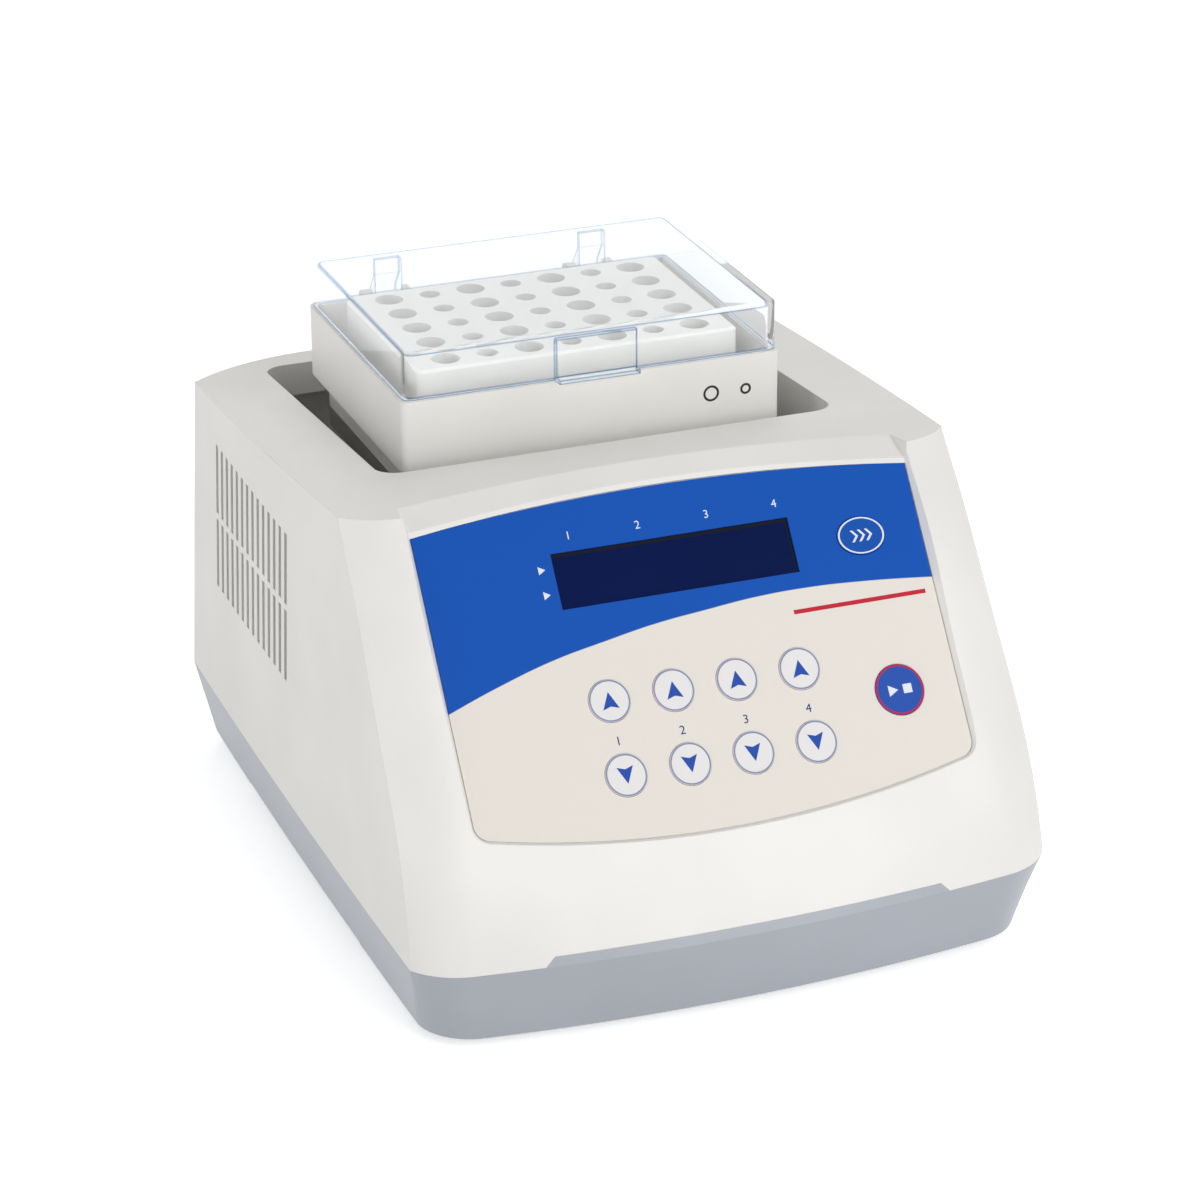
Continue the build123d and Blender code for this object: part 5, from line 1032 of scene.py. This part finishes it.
# ---------------------------------------------------------------- inside and rear
@dataclass
class Works:
    """Everything else: drive, electronics, fan, inlet, switch and screws."""

    # centre of each half of the rocker, and how far it leans down
    on_mm: tuple[float, float, float] = (25.0, 154.09, 69.76)
    on_lean: float = 0.232
    off_mm: tuple[float, float, float] = (25.0, 152.91, 62.24)
    off_lean: float = 0.08
    on_bar_mm: tuple[float, float] = (0.8, 4.0)
    off_ring_mm: tuple[float, float] = (2.0, 1.3)
    # the heads beside the inlet, and the half length and half width of the cross in each
    head_x_mm: tuple[float, float] = (-42.0, -2.0)
    head_yz_mm: tuple[float, float] = (156.3, 66.0)
    cross_mm: tuple[float, float] = (1.6, 0.35)
    hover_mm: float = 0.01

    def behind(
        self,
        piece: bpy.types.Object,
        centre: tuple[float, float, float],
        lean: float,
        body: str,
        material: bpy.types.Material,
    ) -> None:
        """Lays a flat piece on a face at the rear, to be read from behind.

        Args:
            piece: a flat piece at the origin.
            centre: where its centre goes, in millimetres.
            lean: how far the face leans down, in radians.
            body: the body that carries it.
            material: its finish.
        """
        out = Vector((0.0, cos(lean), -sin(lean)))
        right = Vector((-1.0, 0.0, 0.0))
        axes = Matrix((right, out.cross(right), out)).transposed().to_4x4()
        piece.matrix_world = Matrix.Translation(Vector(centre) * MM + out * self.hover_mm * MM) @ axes
        settle(piece, piece.name)
        dress(piece, material)
        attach(piece, body)

    def mark_rear(self) -> None:
        """Prints the rocker's on and off signs, and lays a dark cross of painted shade on each head beside the
        inlet, where its cross recess would be shaded.
        """
        white = PrintInk("white_rocker_ink", "#e4e4e0").build()
        self.behind(flat_bar("rocker_on_sign", *self.on_bar_mm), self.on_mm, self.on_lean, "rocker", white)
        self.behind(flat_ring("rocker_off_sign", *self.off_ring_mm), self.off_mm, self.off_lean, "rocker", white)
        # the dark cross on each head is painted shade, standing for the shadow inside a cross recess
        shade = PrintInk("shadow_in_screw_recess", "#2b2c2e", 0.6).build()
        far, near = self.cross_mm
        half = [(-near, far), (-near, near), (-far, near), (-far, -near), (-near, -near), (-near, -far)]
        cross = half + [(-x, -y) for x, y in half]
        for number, x in enumerate(self.head_x_mm, start=1):
            recess_shade = flat_shape(f"inlet_screw_recess_shade_{number}", cross)
            self.behind(recess_shade, (x, *self.head_yz_mm), 0.0, "case", shade)

    def make(self) -> None:
        """Dresses each remaining node with the finish of what it is made of, and marks the rear."""
        # bright plated fasteners, with the faint rings of their turning
        zinc = Metal("zinc_plated_steel", "#c3c6c8", 0.32, Cut.TURNED).build()
        # ground shafts and races, a little darker and glossier
        ground = Metal("ground_steel", "#a9abad", 0.25, Cut.TURNED).build()
        # folded sheet, whose zinc lies in broad faint patches
        sheet = Metal("galvanised_steel_sheet", "#b9bcbe", 0.4, Cut.ROLLED, 1.0, 1.5).build()
        # plates with the cutter's close parallel marks
        milled = Metal("milled_aluminium", "#cdd0d2", 0.33, Cut.MILLED).build()
        # black mouldings with a dull fine grain
        black = MouldedPlastic("black_moulded_nylon", "#17181a", 0.45).build()
        # sprayed and baked black, an even low gloss
        enamel = Metal("black_enamelled_steel", "#1b1c1f", 0.35, Cut.BLASTED, 0.2).build()
        board = CircuitBoard("green_circuit_board").build()
        groups = (
            (
                zinc,
                "case_screws board_screws bracket_screws motor_screws fan_screws inlet_screws floor_screws "
                "tub_screws glide_posts",
            ),
            (
                ground,
                "hinge_pins motor_shaft eccentric_flywheel counterweight bearing_inner_ring bearing_outer_ring "
                "temperature_sensor",
            ),
            (sheet, "motor_bracket power_supply"),
            (milled, "shaking_plate heater_plate"),
            (enamel, "motor_body driver_heatsink"),
            (
                black,
                "fan_frame fan_rotor power_inlet switch_bezel switch_rocker lcd_module tactile_switches",
            ),
            (board, "control_board driver_board"),
            (MouldedPlastic("white_ptfe", "#e9e9e4", 0.5).build(), "glide_pads"),
            (MouldedPlastic("capacitor_sleeve", "#1c2238", 0.3).build(), "capacitors"),
            (Rubber("silicone_sponge", "#8a857d").build(), "insulation_pad"),
            (Metal("tin_plated_brass", "#cfc7a8", 0.3, Cut.ROLLED).build(), "inlet_pins"),
            (TintedWindow("navy_display_window").build(), "lcd_window"),
        )
        for material, nodes in groups:
            for node in nodes.split():
                dress(frame["nodes"][node], material)
        self.mark_rear()
        LOG.info("works dressed")


# ---------------------------------------------------------------- studio
@dataclass(frozen=True)
class Lamp:
    """One square soft lamp, turned to the object."""

    name: str
    place: tuple[float, float, float]
    side: float
    watts: float

    def hang(self, aim: Vector) -> None:
        """Hangs the lamp.

        Args:
            aim: the point that it is turned to.
        """
        data = bpy.data.lights.new(self.name, "AREA")
        data.size = self.side
        data.energy = self.watts
        lamp = bpy.data.objects.new(self.name, data)
        bpy.context.scene.collection.objects.link(lamp)
        lamp.location = self.place
        lamp.rotation_mode = "QUATERNION"
        lamp.rotation_quaternion = (aim - Vector(self.place)).to_track_quat("-Z", "Y")


@dataclass
class Studio:
    """Pale floor, soft lamps and the camera."""

    # the camera's place, its turns in radians, and its focal length in pixels of a frame 1200 wide
    eye: tuple[float, float, float] = (-0.50785, -1.34364, 0.74148)
    yaw: float = 0.362532
    pitch: float = 0.421333
    roll: float = -0.006548
    focal_px: float = 4146.3
    frame_px: float = 1200.0
    film_mm: float = 36.0
    floor_colour: str = "#f2f2f2"
    floor_side: float = 30.0
    floor_lift: float = 0.55
    room: float = 0.5
    room_tint: tuple[float, float, float, float] = (0.98, 0.99, 1.0, 1.0)
    white: tuple[float, float, float, float] = (1.0, 1.0, 1.0, 1.0)
    aim: tuple[float, float, float] = (0.0, 0.0, 0.1)
    lamps: tuple[Lamp, ...] = (
        Lamp("key_lamp", (0.6, -1.74, 0.94), 1.2, 17.9),
        Lamp("left_lamp", (-1.75, -0.2, 0.4), 1.0, 6.5),
        Lamp("rear_lamp", (0.5, 1.4, 1.5), 1.2, 5.0),
    )

    def make_camera(self) -> None:
        """Stands the camera where the object is seen from its front left, a little above."""
        ahead = Vector((sin(self.yaw) * cos(self.pitch), cos(self.yaw) * cos(self.pitch), -sin(self.pitch)))
        right = Vector((cos(self.yaw), -sin(self.yaw), 0.0))
        above = right.cross(ahead)
        turned_right = cos(self.roll) * right + sin(self.roll) * above
        turned_up = -sin(self.roll) * right + cos(self.roll) * above
        clear_selection()
        bpy.ops.object.camera_add()
        camera = bpy.context.object
        camera.data.sensor_width = self.film_mm
        camera.data.lens = self.focal_px / self.frame_px * self.film_mm
        camera.data.clip_start = 0.05
        camera.data.clip_end = 20.0
        axes = Matrix((turned_right, turned_up, -ahead)).transposed().to_4x4()
        camera.matrix_world = Matrix.Translation(Vector(self.eye)) @ axes
        bpy.context.scene.camera = camera

    def make_floor(self) -> None:
        """Lays a wide pale floor that the camera sees as near white, with the object's shadow on it."""
        clear_selection()
        bpy.ops.mesh.primitive_plane_add(size=self.floor_side)
        floor = bpy.context.object
        floor.name = "floor"
        material, _ = new_material("pale_floor")
        paper = add_node(material, "ShaderNodeBsdfDiffuse", values={"Color": linear(self.floor_colour)})
        lift = add_node(
            material,
            "ShaderNodeMath",
            {"operation": "MULTIPLY"},
            {1: self.floor_lift},
            {0: background_rays(material)},
        )
        glow = add_node(material, "ShaderNodeEmission", links={"Strength": lift.outputs["Value"]})
        both = add_node(
            material, "ShaderNodeAddShader", links={0: paper.outputs["BSDF"], 1: glow.outputs["Emission"]}
        )
        add_node(material, "ShaderNodeOutputMaterial", links={"Surface": both.outputs["Shader"]})
        dress(floor, material)

    def make_lights(self) -> None:
        """Lights the object from a pale room and the lamps: front right, and weaker ones on the left and behind."""
        world = bpy.data.worlds.new("pale_room")
        bpy.context.scene.world = world
        world.use_nodes = True
        world.node_tree.nodes.clear()
        fill = add_node(world, "ShaderNodeBackground", values={"Color": self.room_tint, "Strength": self.room})
        seen = add_node(world, "ShaderNodeBackground", values={"Color": self.white, "Strength": 1.0})
        mix = add_node(
            world,
            "ShaderNodeMixShader",
            links={0: background_rays(world), 1: fill.outputs["Background"], 2: seen.outputs["Background"]},
        )
        add_node(world, "ShaderNodeOutputWorld", links={"Surface": mix.outputs["Shader"]})
        for lamp in self.lamps:
            lamp.hang(Vector(self.aim))

    def make(self) -> None:
        """Sets up the studio."""
        self.make_camera()
        self.make_floor()
        self.make_lights()
        bpy.context.scene.view_settings.view_transform = "Standard"
        LOG.info("studio ready")


def main() -> None:
    """Builds and dresses every sub-assembly in order."""
    logging.basicConfig(level=logging.INFO)
    for part in (Case(), Keypad(), ShakingTub(), ClearLid(), Works(), Studio()):
        part.make()


if __name__ == "__main__":
    main()
